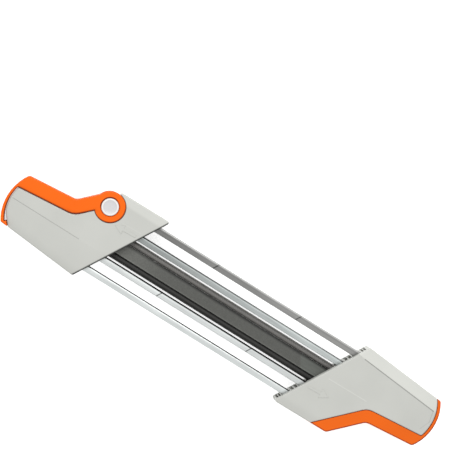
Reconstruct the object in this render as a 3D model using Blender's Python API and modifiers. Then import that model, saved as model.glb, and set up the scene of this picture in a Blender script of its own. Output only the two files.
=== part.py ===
"""Chainsaw file guide: two slanted handles on four rails, with two round files and a flat file.

The long axis is X, the face with the lever ring looks up, and the handles stand on Z = 0.
Each handle is drawn in its own frame, from the middle of the guide out to +X.
The fixed handle keeps that frame, and the lever handle turns it by half a turn about Z.
"""

import math

import bmesh
import bpy
from mathutils import Matrix, Vector

# Driving dimensions, in metres

BAY_LENGTH = 0.1872
HANDLE_LENGTH = 0.0985
HANDLE_WIDTH = 0.0759
HANDLE_HEIGHT = 0.026
FRONT_ANGLE = math.radians(60)

RAIL_WIDTH = 0.0055
RAIL_HEIGHT = 0.006
RAIL_COVER = 0.0055
RAIL_SEAT = 0.028
RAIL_FILE_GAP = 0.0012
RAIL_ROOM_SHARE = 0.61

ROUND_FILE_DIAMETER = 0.0055
ROUND_FILE_OFFSET = 0.0079
ROUND_FILE_DROP_SHARE = 0.3
FLAT_FILE_WIDTH = 0.0104
FLAT_FILE_THICKNESS = 0.003
FLAT_FILE_DROP = 0.00065
FILE_SEAT = 0.0064

SIDE_WALL = 0.003
SKIN = 0.0027
ROOF = 0.0036
SEAM = 0.0003
RUNNING_GAP = 0.0003
OVERRUN = 0.002

# Handle outline: places along the handle and across it, as shares of its length and half width

KNUCKLE_SHARES = (0.274, -0.990)
NOTCH_SHARES = (0.512, -0.374)
HEEL_SHARES = (0.9295, -0.278)
CROWN_SHARES = (0.9435, 0.831)
END_STEPS = 10
FILLET_STEP = math.radians(14)

TIP_FILLET = 0.0016
TOE_FILLET = 0.0014
KNUCKLE_FILLET = 0.004
NOTCH_FILLET = 0.007
HEEL_FILLET = 0.003
INNER_HEEL_FILLET = 0.002
CROWN_FILLET = 0.002
SHOULDER_FILLET = 0.002
EDGE_ROUND = 0.001
EDGE_SEGMENTS = 2

# Sloped strips on the upper faces

FIXED_SLOPE_INSET = 0.010
FIXED_SLOPE_DROP = 0.0021
LEVER_SLOPE_Y = 0.0110
LEVER_SLOPE_DROP = 0.0018

# Grip band of the fixed handle

BAND_WIDTH = 0.010
BAND_RIM_WIDTH = 0.0026
BAND_WALL = 0.0018
BAND_LIP = 0.0028
BAND_INNER_FILLET = 0.012

# Lever of the lever handle

PIVOT_SHARES = (0.2555, -0.612)
RING_RADIUS = 0.0124
RING_THICKNESS = 0.004
RING_STEPS = 40
LEVER_RISE = 0.0004
LEVER_GROUND_GAP = 0.0005
LEVER_NECK_WIDTH = 0.011
LEVER_GRIP_WIDTH = 0.0115
LEVER_WALL = 0.0026
LEVER_LIP = 0.003
LEVER_HEEL_BLOCK = 0.007
LEVER_RIB = 0.0016
LEVER_RIB_SHARES = (0.34, 0.67)
LEVER_INNER_FILLET = 0.014
LEVER_NOTCH_FILLET = 0.006
LEVER_SOLID_RADIUS = 0.0165
STRAP_SETBACK = 0.0009
STRAP_THICKNESS = 0.0026
STRAP_STEPS = 8
BODY_END_STEPS = 4
HOOK_BARB = 0.0020
HOOK_TIP = 0.0006
HOOK_CORNER_FILLET = 0.0012
HOOK_STEPS = 4
KNUCKLE_RADIUS = 0.0117
KNUCKLE_GAP = 0.0008
TOE_STOP = 0.0022
LEVER_GAP = 0.0004
LEVER_EDGE = 0.0008

# Pivot, cam and clamp

CAP_RADIUS = 0.0069
CAP_EDGE = 0.0006
CAP_THICKNESS = 0.0021
CAP_DOME = 0.0004
CAP_DOME_SHARE = 0.75
SHAFT_RADIUS = 0.0035
SHAFT_FLANGE_RADIUS = 0.0064
SHAFT_FLANGE = 0.0014
CAM_RADIUS = 0.0052
CAM_OFFSET = 0.0014
LEVER_SWING = math.radians(65)
CLAMP_PLATE_DROP = 0.004
CLAMP_PLATE = 0.003
CLAMP_BAR_WIDTH = 0.005
CLAMP_BAR_SETBACK = 0.0172
CLAMP_PAD_WIDTH = 0.0017
CLAMP_PAD_DROP = 0.0008
CLAMP_PAD_INSET = 0.0002
CLAMP_FINGER = 0.0025
CLAMP_FINGER_REACH = 0.002

# Inside of the handles

CELL_DEPTH = 0.012
CELL_RIB = 0.001
CELL_RIB_SHARE = 0.2
CHAMBER_START = 0.0155
BULKHEAD_START = 0.0252
BULKHEAD = 0.0045
CAVITY_RIB = 0.0016
CAVITY_RIB_SHARES = (0.58, 0.80)
HOLDER_RECESS = 0.0012
HOLDER_DEPTH = 0.0135
HOLDER_DROP = 0.0059
HOLDER_HEIGHT = 0.010
HOLDER_RIDGE = 0.001
HOLDER_RIDGE_START = 0.0085
HOLDER_RIDGE_WIDTH = 0.002
RAIL_NOTCH_SETBACK = 0.0195
RAIL_NOTCH_LENGTH = 0.003
RAIL_NOTCH_DEPTH = 0.0015

# Shell screws: places as shares of the handle's length and half width

SCREW_SHARES = ((0.605, 0.700), (0.868, 0.480), (0.412, 0.085))
SCREW_RADIUS = 0.0015
SCREW_HEAD_RADIUS = 0.0029
SCREW_HEAD = 0.0021
SCREW_HEAD_RECESS = 0.0006
SCREW_COVER = 0.006
BOSS_RADIUS = 0.0042

# Edges of the steel pieces

RAIL_EDGE = 0.0008
FILE_EDGE = 0.0003
MERGE_DISTANCE = 0.00001
SAME_PLACE = 0.0000001
FLAT_ANGLE = math.radians(1)
SHARP_ANGLE = math.radians(32)
TURN_STEPS = 32
FILE_STEPS = 24

RAIL_BASE_Z = HANDLE_HEIGHT - RAIL_COVER - RAIL_HEIGHT
HALF_WIDTH = HANDLE_WIDTH / 2
HALF_BAY = BAY_LENGTH / 2
RAIL_TOP_Z = RAIL_BASE_Z + RAIL_HEIGHT
RAIL_WALL = RUNNING_GAP + CELL_RIB
INNER_RAIL_OFFSET = ROUND_FILE_OFFSET + ROUND_FILE_DIAMETER / 2 + RAIL_FILE_GAP + RAIL_WIDTH / 2
RAIL_SPACING = RAIL_WIDTH + 2 * RAIL_WALL
RAIL_ROOM = HALF_WIDTH - SIDE_WALL - INNER_RAIL_OFFSET - RAIL_SPACING - RAIL_SPACING / 2
OUTER_RAIL_OFFSET = INNER_RAIL_OFFSET + RAIL_SPACING + RAIL_ROOM * RAIL_ROOM_SHARE
HOLDER_HALF_WIDTH = INNER_RAIL_OFFSET - RAIL_WIDTH / 2 - RUNNING_GAP
CLAMP_PLATE_BASE_Z = RAIL_BASE_Z - CLAMP_PLATE_DROP
HOLDER_BASE_Z = RAIL_BASE_Z - HOLDER_DROP
HOLDER_TOP_Z = HOLDER_BASE_Z + HOLDER_HEIGHT
SCREW_TOP_Z = HANDLE_HEIGHT - SCREW_COVER
PARTING_LOW_Z = RAIL_BASE_Z - SEAM
PARTING_HIGH_Z = RAIL_BASE_Z
LEVER_TOP_Z = HANDLE_HEIGHT + LEVER_RISE
RING_BASE_Z = LEVER_TOP_Z - RING_THICKNESS
LOWER_EAR_TOP_Z = LEVER_GROUND_GAP + RING_THICKNESS


# Materials

def plastic(name, colour, roughness):
    return surface(name, colour, roughness, 0)


def surface(name, colour, roughness, metallic):
    material = bpy.data.materials.new(name)
    material.use_nodes = True
    shader = material.node_tree.nodes["Principled BSDF"]
    shader.inputs["Base Color"].default_value = (*colour, 1)
    shader.inputs["Roughness"].default_value = roughness
    shader.inputs["Metallic"].default_value = metallic
    material.diffuse_color = (*colour, 1)
    return material


# Collections and frames

def start_scene():
    for old in list(bpy.data.objects):
        bpy.data.objects.remove(old)
    parts = bpy.data.collections.new("chainsaw_file_guide")
    cutters = bpy.data.collections.new("cutters")
    bpy.context.scene.collection.children.link(parts)
    bpy.context.scene.collection.children.link(cutters)
    return parts, cutters


def handle_frame(name, turn):
    frame = bpy.data.objects.new(name, None)
    PARTS.objects.link(frame)
    frame.rotation_euler.z = turn
    return frame


# Outlines

def front_x(y):
    """Where the slanted front face stands at a place across the handle."""
    return HALF_BAY + y / math.tan(FRONT_ANGLE)


def at_shares(shares):
    return Vector((HALF_BAY + shares[0] * HANDLE_LENGTH, shares[1] * HALF_WIDTH))


def end_circle():
    """Centre and radius of the rounded end, which bulges out to the handle's full length."""
    heel, crown = at_shares(HEEL_SHARES), at_shares(CROWN_SHARES)
    bulge = HALF_BAY + HANDLE_LENGTH - (heel.x + crown.x) / 2
    chord = crown - heel
    half = chord.length / 2
    radius = (half * half + bulge * bulge) / (2 * bulge)
    outward = Vector((chord.y, -chord.x)).normalized()
    return (heel + crown) / 2 + outward * (bulge - radius), radius


def arc_points(centre, start, end, steps):
    """Points from start to end round a centre, their distance from it changing evenly."""
    first, last = start - centre, end - centre
    first_angle = math.atan2(first.y, first.x)
    sweep = math.atan2(last.y, last.x) - first_angle
    points = []
    for step in range(steps + 1):
        share = step / steps
        angle = first_angle + sweep * share
        length = first.length + (last.length - first.length) * share
        points.append(centre + Vector((math.cos(angle), math.sin(angle))) * length)
    return points


def moved_line(start, end, distance):
    """A point and a direction of the line from start to end, moved to its left by a distance."""
    way = (end - start).normalized()
    return start + Vector((-way.y, way.x)) * distance, way


def lines_meet(line, other):
    point, way = line
    other_point, other_way = other
    between = other_point - point
    across = way.x * other_way.y - way.y * other_way.x
    return point + way * ((between.x * other_way.y - between.y * other_way.x) / across)


def line_reaches(line, centre, radius):
    """Where a line meets a circle, on the side of the handle's end."""
    point, way = line
    middle = point + way * (centre - point).dot(way)
    half = math.sqrt(radius * radius - (middle - centre).length_squared)
    return max(middle + way * half, middle - way * half, key=lambda place: place.x)


def circles_meet(centre, radius, other_centre, other_radius):
    """Where two circles meet, on the side of the handle's end."""
    between = other_centre - centre
    apart = between.length
    along = (radius * radius - other_radius * other_radius + apart * apart) / (2 * apart)
    beside = Vector((-between.y, between.x)).normalized()
    beside *= math.sqrt(radius * radius - along * along)
    middle = centre + between.normalized() * along
    return max(middle + beside, middle - beside, key=lambda place: place.x)


def inset_corners(toe=0, rise=0, grip=0, end=0, side=0, front=0):
    """Tip, knuckle, notch, the end arc from heel to crown, and the shoulder, anticlockwise.

    Each edge of the handle can be moved inward by its own distance.
    """
    tip = Vector((front_x(-HALF_WIDTH), -HALF_WIDTH))
    shoulder = Vector((front_x(HALF_WIDTH), HALF_WIDTH))
    knuckle, notch = at_shares(KNUCKLE_SHARES), at_shares(NOTCH_SHARES)
    heel, crown = at_shares(HEEL_SHARES), at_shares(CROWN_SHARES)
    toe_line = moved_line(tip, knuckle, toe)
    rise_line = moved_line(knuckle, notch, rise)
    grip_line = moved_line(notch, heel, grip)
    side_line = moved_line(crown, shoulder, side)
    front_line = moved_line(shoulder, tip, front)
    centre, radius = end_circle()
    arc = arc_points(centre, line_reaches(grip_line, centre, radius - end),
                     line_reaches(side_line, centre, radius - end), END_STEPS)
    return [lines_meet(front_line, toe_line), lines_meet(toe_line, rise_line),
            lines_meet(rise_line, grip_line), *arc, lines_meet(side_line, front_line)]


def rounded(points, radii):
    """The outline with a fillet of the given radius at each corner that has one."""
    result = []
    for index, point in enumerate(points):
        radius = radii[index]
        if radius == 0:
            result.append(point)
            continue
        back = (points[index - 1] - point).normalized()
        ahead = (points[(index + 1) % len(points)] - point).normalized()
        half_angle = math.acos(max(-1, min(1, back.dot(ahead)))) / 2
        reach = radius / math.tan(half_angle)
        middle = point + (back + ahead).normalized() * (radius / math.sin(half_angle))
        first = point + back * reach - middle
        sweep = math.pi - 2 * half_angle
        turn = first.x * (ahead.y - back.y) - first.y * (ahead.x - back.x)
        steps = max(2, math.ceil(sweep / FILLET_STEP))
        for step in range(steps + 1):
            angle = math.copysign(sweep * step / steps, turn)
            spin = Matrix.Rotation(angle, 2)
            result.append(middle + spin @ first)
    return result


def handle_radii(tip=TIP_FILLET, knuckle=KNUCKLE_FILLET, notch=NOTCH_FILLET, heel=HEEL_FILLET,
                 crown=CROWN_FILLET, shoulder=SHOULDER_FILLET):
    return [tip, knuckle, notch, heel] + [0] * (END_STEPS - 1) + [crown, shoulder]


def inner_radii(notch=NOTCH_FILLET):
    return handle_radii(tip=0, knuckle=0, notch=notch, heel=INNER_HEEL_FILLET, crown=0, shoulder=0)


# Solids

def add_object(name, mesh, parent, collection):
    piece = bpy.data.objects.new(name, mesh)
    collection.objects.link(piece)
    piece.parent = parent
    if collection == CUTTERS:
        piece.hide_render = True
        piece.display_type = "WIRE"
    return piece


def outline_solid(name, outline, low, high, parent, collection=None):
    """A prism over a flat outline, drawn as a filled curve and kept as a mesh."""
    curve = bpy.data.curves.new(name, "CURVE")
    curve.dimensions = "2D"
    curve.fill_mode = "BOTH"
    curve.extrude = (high - low) / 2
    spline = curve.splines.new("POLY")
    spline.points.add(len(outline) - 1)
    for point, place in zip(spline.points, outline):
        point.co = (place.x, place.y, 0, 1)
    spline.use_cyclic_u = True
    drawing = bpy.data.objects.new(name, curve)
    CUTTERS.objects.link(drawing)
    bpy.context.view_layer.update()
    evaluated = drawing.evaluated_get(bpy.context.evaluated_depsgraph_get())
    mesh = bpy.data.meshes.new_from_object(evaluated)
    bpy.data.objects.remove(drawing)
    bpy.data.curves.remove(curve)
    shape = bmesh.new()
    shape.from_mesh(mesh)
    bmesh.ops.remove_doubles(shape, verts=shape.verts, dist=SAME_PLACE)
    bmesh.ops.dissolve_limit(shape, angle_limit=FLAT_ANGLE, verts=shape.verts, edges=shape.edges)
    bmesh.ops.translate(shape, verts=shape.verts, vec=(0, 0, (low + high) / 2))
    bmesh.ops.recalc_face_normals(shape, faces=shape.faces)
    shape.to_mesh(mesh)
    shape.free()
    mesh.name = name
    return add_object(name, mesh, parent, collection or CUTTERS)


def inset_outline(points, distance):
    """The outline with every edge moved inward by the distance."""
    moved = []
    for index, point in enumerate(points):
        back = (point - points[index - 1]).normalized()
        ahead = (points[(index + 1) % len(points)] - point).normalized()
        inward = Vector((-back.y - ahead.y, back.x + ahead.x))
        moved.append(point + inward * (distance / (1 + back.dot(ahead))))
    return moved


def rounded_block(name, outline, low, high, edge, parent, collection, slope=None):
    """A prism with rounded rims, its upper face falling away beyond the slope's crease."""
    levels = []
    for step in range(EDGE_SEGMENTS + 1):
        angle = math.pi / 2 * step / EDGE_SEGMENTS
        levels.append((edge * (1 - math.sin(angle)), edge * (1 - math.cos(angle))))
    heights = [(inset, low + rise) for inset, rise in levels]
    heights += [(inset, high - rise) for inset, rise in reversed(levels)]
    shape = bmesh.new()
    rings = []
    for inset, height in heights:
        ring = inset_outline(outline, inset)
        rings.append([shape.verts.new((point.x, point.y, height)) for point in ring])
    shape.faces.new(reversed(rings[0]))
    shape.faces.new(rings[-1])
    for lower, upper in zip(rings, rings[1:]):
        for index in range(len(lower)):
            shape.faces.new((lower[index - 1], lower[index], upper[index], upper[index - 1]))
    if slope:
        lower_slope(shape, *slope)
    bmesh.ops.recalc_face_normals(shape, faces=shape.faces)
    mesh = bpy.data.meshes.new(name)
    shape.to_mesh(mesh)
    shape.free()
    return add_object(name, mesh, parent, collection)


def lower_slope(shape, crease, direction, reach, drop):
    """Tilt the part of the upper face beyond a crease line, down toward the handle's side."""
    across = Vector((-direction.y, direction.x, 0)).normalized()
    above_ground = [face for face in shape.faces if face.calc_center_median().z > SAME_PLACE]
    bmesh.ops.bisect_plane(shape, geom=[*shape.verts, *shape.edges, *above_ground],
                           plane_co=(crease.x, crease.y, 0), plane_no=across, dist=SAME_PLACE)
    for vert in shape.verts:
        beyond = (vert.co - crease.to_3d()).dot(across)
        if beyond > 0 and vert.co.z > HANDLE_HEIGHT / 2:
            vert.co.z -= drop * beyond / reach


def slanted_outline(start, end, low_y, high_y):
    """A strip that runs along the slanted front, from one setback behind it to another."""
    return [
        Vector((front_x(low_y) + start, low_y)),
        Vector((front_x(low_y) + end, low_y)),
        Vector((front_x(high_y) + end, high_y)),
        Vector((front_x(high_y) + start, high_y)),
    ]


def slanted_block(name, strip, low, high, parent, collection=None):
    return outline_solid(name, slanted_outline(*strip), low, high, parent, collection)


def blocks(name, corners, parent, collection=None):
    """One mesh of boxes, each given by its low and high corner."""
    shape = bmesh.new()
    for low, high in corners:
        size = Vector(high) - Vector(low)
        middle = (Vector(high) + Vector(low)) / 2
        bmesh.ops.create_cube(shape, size=1, matrix=Matrix.LocRotScale(middle, None, size))
    mesh = bpy.data.meshes.new(name)
    shape.to_mesh(mesh)
    shape.free()
    return add_object(name, mesh, parent, collection or CUTTERS)


def cylinders(name, places, radius, low, high, parent, steps=TURN_STEPS, collection=None):
    """One mesh of upright cylinders at the given places."""
    shape = bmesh.new()
    for place in places:
        matrix = Matrix.Translation((place.x, place.y, (low + high) / 2))
        bmesh.ops.create_cone(shape, cap_ends=True, segments=steps, radius1=radius, radius2=radius,
                              depth=high - low, matrix=matrix)
    mesh = bpy.data.meshes.new(name)
    shape.to_mesh(mesh)
    shape.free()
    mesh.shade_smooth()
    mesh.set_sharp_from_angle(angle=SHARP_ANGLE)
    return add_object(name, mesh, parent, collection or CUTTERS)


def lengthwise_cylinder(name, radius, start, end, centre, parent, collection=None):
    """A cylinder along X through a place given as (y, z)."""
    shape = bmesh.new()
    matrix = Matrix.Translation(((start + end) / 2, *centre)) @ Matrix.Rotation(math.pi / 2, 4, "Y")
    bmesh.ops.create_cone(shape, cap_ends=True, segments=FILE_STEPS, radius1=radius, radius2=radius,
                          depth=end - start, matrix=matrix)
    mesh = bpy.data.meshes.new(name)
    shape.to_mesh(mesh)
    shape.free()
    mesh.shade_smooth()
    mesh.set_sharp_from_angle(angle=SHARP_ANGLE)
    return add_object(name, mesh, parent, collection or CUTTERS)


def turned(name, profile, parent, collection=None):
    """A solid of revolution about Z from (radius, height) points, listed from the top down."""
    mesh = bpy.data.meshes.new(name)
    points = [(radius, 0, height) for radius, height in profile]
    mesh.from_pydata(points, [(index, index + 1) for index in range(len(points) - 1)], [])
    piece = add_object(name, mesh, parent, collection or CUTTERS)
    turn = piece.modifiers.new("turn", "SCREW")
    turn.axis = "Z"
    turn.steps = TURN_STEPS
    turn.render_steps = TURN_STEPS
    turn.use_merge_vertices = True
    turn.merge_threshold = MERGE_DISTANCE
    return piece


def combine(piece, operation, *others):
    for other in others:
        step = piece.modifiers.new(other.name, "BOOLEAN")
        step.operation = operation
        step.solver = "EXACT"
        step.object = other


def cut(piece, *cutters):
    combine(piece, "DIFFERENCE", *cutters)


def join(piece, *others):
    combine(piece, "UNION", *others)


def break_edges(piece, width):
    bevel = piece.modifiers.new("break_edges", "BEVEL")
    bevel.width = width
    bevel.segments = 1
    bevel.limit_method = "ANGLE"
    bevel.angle_limit = SHARP_ANGLE


def move_origin(piece, origin):
    piece.data.transform(Matrix.Translation(-Vector(origin)))
    piece.location = origin


# Sloped strips: crease point, crease direction, width of the strip, and its fall

def fixed_slope():
    corners = inset_corners(side=FIXED_SLOPE_INSET)
    return corners[-1], corners[-2] - corners[-1], FIXED_SLOPE_INSET, FIXED_SLOPE_DROP


def lever_slope():
    start = Vector((HALF_BAY, LEVER_SLOPE_Y))
    return start, Vector((1, 0)), HALF_WIDTH - LEVER_SLOPE_Y, LEVER_SLOPE_DROP


# Shell insides, shared by both handles

def parting_cutters(name, frame):
    """Slabs that leave the lower or the upper half of a handle."""
    reach = HALF_BAY + HANDLE_LENGTH + HANDLE_WIDTH
    above = blocks(name + "_above", [((-reach, -reach, PARTING_LOW_Z),
                                      (reach, reach, HANDLE_HEIGHT + OVERRUN))], frame)
    below = blocks(name + "_below", [((-reach, -reach, -OVERRUN),
                                      (reach, reach, PARTING_HIGH_Z))], frame)
    return above, below


def rail_slots(name, frame):
    """Sockets for the four rails in the upper shell, open at the front and below."""
    corners = []
    for offset in (-OUTER_RAIL_OFFSET, -INNER_RAIL_OFFSET, INNER_RAIL_OFFSET, OUTER_RAIL_OFFSET):
        half = RAIL_WIDTH / 2 + RUNNING_GAP
        corners.append(((front_x(-HALF_WIDTH) - OVERRUN, offset - half, PARTING_HIGH_Z - OVERRUN),
                        (front_x(offset) + RAIL_SEAT + RUNNING_GAP, offset + half,
                         RAIL_TOP_Z + RUNNING_GAP)))
    return blocks(name, corners, frame)


def cell_spans():
    """Where the front cells lie across the handle, as (low y, high y) on the +Y side."""
    beside = RAIL_SPACING / 2
    between = (INNER_RAIL_OFFSET + beside, OUTER_RAIL_OFFSET - beside)
    outside = (OUTER_RAIL_OFFSET + beside, HALF_WIDTH - SIDE_WALL)
    spans = []
    for low, high in (between, outside):
        middle = (low + high) / 2
        half_rib = (high - low) * CELL_RIB_SHARE / 2
        spans.append((low, middle - half_rib))
        spans.append((middle + half_rib, high))
    return spans


def front_cells(name, frame):
    """Moulding cells in the front face beside the rails, their floors along the front."""
    cells = []
    for side, label in ((-1, "low"), (1, "high")):
        for index, span in enumerate(cell_spans()):
            low, high = sorted((side * span[0], side * span[1]))
            cells.append(slanted_block("{}_{}_{}".format(name, label, index),
                                       (-OVERRUN, CELL_DEPTH, low, high), SKIN,
                                       RAIL_TOP_Z + CELL_RIB, frame))
    return cells


def holder_pocket(name, frame):
    """Room for the file holder and for the ridge that keeps it from sliding out."""
    half = HOLDER_HALF_WIDTH + SEAM
    body = slanted_block(name, (-OVERRUN, HOLDER_DEPTH + SEAM, -half, half),
                         HOLDER_BASE_Z - SEAM, HOLDER_TOP_Z + SEAM, frame)
    ridge = slanted_block(name + "_ridge",
                          (HOLDER_RIDGE_START - SEAM, HOLDER_RIDGE_START + HOLDER_RIDGE_WIDTH + SEAM,
                           -half, half),
                          HOLDER_BASE_Z - HOLDER_RIDGE - SEAM, HOLDER_TOP_Z + HOLDER_RIDGE + SEAM, frame)
    return body, ridge


def chamber(name, frame):
    """The cross chamber behind the front block, which the rail ends pass through."""
    low = -HALF_WIDTH + SIDE_WALL
    strip = (CHAMBER_START, BULKHEAD_START, low, -low)
    return slanted_block(name, strip, SKIN, HANDLE_HEIGHT - ROOF, frame)


def rear_cavity(name, outline, frame, keep):
    """The hollow behind the bulkhead, less the bosses and ribs that stand in it."""
    hollow = outline_solid(name, outline, SKIN, HANDLE_HEIGHT - ROOF, frame)
    reach = HALF_WIDTH + OVERRUN
    bulkhead_end = BULKHEAD_START + BULKHEAD
    ahead = slanted_block(name + "_ahead", (-HANDLE_LENGTH, bulkhead_end, -reach, reach),
                          -OVERRUN, HANDLE_HEIGHT + OVERRUN, frame)
    bosses = cylinders(name + "_bosses", screw_places(), BOSS_RADIUS, -OVERRUN,
                       HANDLE_HEIGHT + OVERRUN, frame, steps=FILE_STEPS)
    ribs = []
    for share in CAVITY_RIB_SHARES:
        x = HALF_BAY + share * HANDLE_LENGTH
        ribs.append(((x - CAVITY_RIB / 2, -reach, -OVERRUN),
                     (x + CAVITY_RIB / 2, reach, HANDLE_HEIGHT + OVERRUN)))
    cut(hollow, ahead, bosses, blocks(name + "_ribs", ribs, frame), *keep)
    return hollow


def screw_places():
    return [at_shares(shares) for shares in SCREW_SHARES]


def screw_holes(name, frame):
    shank = cylinders(name + "_shank", screw_places(), SCREW_RADIUS + SEAM, -OVERRUN,
                      SCREW_TOP_Z + SEAM, frame, steps=FILE_STEPS)
    head = cylinders(name + "_head", screw_places(), SCREW_HEAD_RADIUS + SEAM, -OVERRUN,
                     SCREW_HEAD_RECESS + SCREW_HEAD + SEAM, frame, steps=FILE_STEPS)
    return shank, head


# Fixed handle

def band_window_outline():
    """The part of the handle's face that the grip band leaves free, open at toe, side and front."""
    corners = inset_corners(toe=-OVERRUN, rise=BAND_WIDTH, grip=BAND_WIDTH, end=BAND_RIM_WIDTH,
                            side=-OVERRUN, front=-OVERRUN)
    return rounded(corners, inner_radii(BAND_INNER_FILLET))


def fixed_face_outline():
    """The shells' face, which fills the band's window but for the seam round it."""
    corners = inset_corners(rise=BAND_WIDTH + SEAM, grip=BAND_WIDTH + SEAM,
                            end=BAND_RIM_WIDTH + SEAM)
    return rounded(corners, handle_radii(knuckle=0, notch=BAND_INNER_FILLET,
                                         heel=INNER_HEEL_FILLET))


def band_core_outline(gap, sides):
    """The room inside the band's outer wall, which the shells fill below the lips."""
    corners = inset_corners(toe=BAND_WALL + gap, rise=BAND_WALL + gap, grip=BAND_WALL + gap,
                            end=BAND_WALL + gap, side=sides, front=sides)
    return rounded(corners, inner_radii())


def fixed_block(name, frame):
    """The fixed handle's body before it is hollowed, with room for the band round its edge."""
    body = rounded_block(name, fixed_face_outline(), 0, HANDLE_HEIGHT, EDGE_ROUND, frame, PARTS,
                         fixed_slope())
    waist = outline_solid(name + "_waist", band_core_outline(SEAM, SIDE_WALL / 2),
                          BAND_LIP + SEAM, HANDLE_HEIGHT - BAND_LIP - SEAM, frame)
    join(body, waist)
    return body


def rail_tabs(frame):
    """Ribs of the fixed handle's lower shell that stand in the rails' notches."""
    tabs = []
    half = RAIL_WIDTH / 2 - RUNNING_GAP
    for offset in (-OUTER_RAIL_OFFSET, -INNER_RAIL_OFFSET, INNER_RAIL_OFFSET, OUTER_RAIL_OFFSET):
        start = front_x(offset) + RAIL_NOTCH_SETBACK + RUNNING_GAP
        end = front_x(offset) + RAIL_NOTCH_SETBACK + RAIL_NOTCH_LENGTH - RUNNING_GAP
        tabs.append(((start, offset - half, SKIN - SEAM),
                     (end, offset + half, RAIL_BASE_Z + RAIL_NOTCH_DEPTH - RUNNING_GAP)))
    return blocks("rail_tabs", tabs, frame)


def build_fixed_handle(frame, grey, orange, dark):
    above, below = parting_cutters("fixed", frame)
    inside = rounded(inset_corners(toe=BAND_WALL + SIDE_WALL, rise=BAND_WIDTH + SIDE_WALL,
                                   grip=BAND_WIDTH + SIDE_WALL, end=BAND_RIM_WIDTH + SIDE_WALL,
                                   side=SIDE_WALL), inner_radii())
    hollow = rear_cavity("fixed_cavity", inside, frame, [])
    tools = [*front_cells("fixed_cell", frame), *holder_pocket("fixed_holder_pocket", frame),
             chamber("fixed_chamber", frame), hollow, *screw_holes("fixed_screw_hole", frame)]

    upper = fixed_block("fixed_handle_upper_shell", frame)
    cut(upper, below, rail_slots("fixed_rail_slots", frame), *tools)
    upper.data.materials.append(grey)

    lower = fixed_block("fixed_handle_lower_shell", frame)
    cut(lower, above, *tools)
    join(lower, rail_tabs(frame))
    lower.data.materials.append(grey)

    band = rounded_block("fixed_handle_grip_band", rounded(inset_corners(), handle_radii()),
                         0, HANDLE_HEIGHT, EDGE_ROUND, frame, PARTS, fixed_slope())
    window = outline_solid("band_window", band_window_outline(), -OVERRUN,
                           HANDLE_HEIGHT + OVERRUN, frame)
    core = outline_solid("band_core", band_core_outline(0, -OVERRUN), BAND_LIP,
                         HANDLE_HEIGHT - BAND_LIP, frame)
    cut(band, window, core)
    band.data.materials.append(orange)

    file_holder("fixed_handle_file_holder", frame, dark)


# Lever handle

def pivot_place():
    return at_shares(PIVOT_SHARES)


def lever_corners(gap):
    """The corners along the lever's inner side, moved inward by a gap."""
    return inset_corners(rise=LEVER_NECK_WIDTH + gap, grip=LEVER_GRIP_WIDTH + gap,
                         end=STRAP_THICKNESS + gap)


def strap_end():
    """Where the strap's inner face ends and the hook begins, on the ray from pivot to crown."""
    centre, radius = end_circle()
    pivot = pivot_place()
    crown = inset_corners(end=STRAP_SETBACK)[-2]
    ray = (pivot, (crown - pivot).normalized())
    return line_reaches(ray, centre, radius - STRAP_SETBACK - STRAP_THICKNESS)


def hook_radius():
    """The hook's inner face runs round the pivot, inside the strap's face by the barb."""
    return (strap_end() - pivot_place()).length - HOOK_BARB


def lever_body_outline():
    """Body of the lever handle: the toe, round the knuckle, back along the lever, the hook's arc."""
    corners = lever_corners(LEVER_GAP)
    pivot = pivot_place()
    start_angle = -math.pi / 2 - math.asin(TOE_STOP / KNUCKLE_RADIUS)
    tip, knuckle = corners[0], inset_corners()[1]
    toe_share = (pivot.x - TOE_STOP - tip.x) / (knuckle.x - tip.x)
    toe_corner = tip.lerp(knuckle, toe_share)
    rise = (corners[2] - corners[1]).normalized()
    beside = Vector((-rise.y, rise.x)).dot(corners[2] - pivot)
    end_angle = math.atan2(rise.y, rise.x) + math.asin(beside / KNUCKLE_RADIUS)
    steps = math.ceil((end_angle - start_angle) / FILLET_STEP)
    knuckle_points = []
    for step in range(steps + 1):
        angle = start_angle + (end_angle - start_angle) * step / steps
        knuckle_points.append(pivot + Vector((math.cos(angle), math.sin(angle))) * KNUCKLE_RADIUS)
    centre, radius = end_circle()
    reach = hook_radius() - LEVER_GAP
    strap_inside = radius - STRAP_SETBACK - STRAP_THICKNESS
    turn = circles_meet(centre, strap_inside - LEVER_GAP, pivot, reach)
    side_line = (corners[-2], (corners[-1] - corners[-2]).normalized())
    crown = line_reaches(side_line, pivot, reach)
    end = arc_points(centre, corners[3], turn, BODY_END_STEPS)
    hook_arc = arc_points(pivot, turn, crown, HOOK_STEPS)[1:]
    points = [tip, toe_corner, *knuckle_points, corners[2], *end, *hook_arc, corners[-1]]
    radii = [TIP_FILLET, TOE_FILLET] + [0] * len(knuckle_points)
    radii += [LEVER_INNER_FILLET, INNER_HEEL_FILLET] + [0] * (len(end) + len(hook_arc) - 2)
    radii += [CROWN_FILLET, SHOULDER_FILLET]
    return rounded(points, radii)


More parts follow.
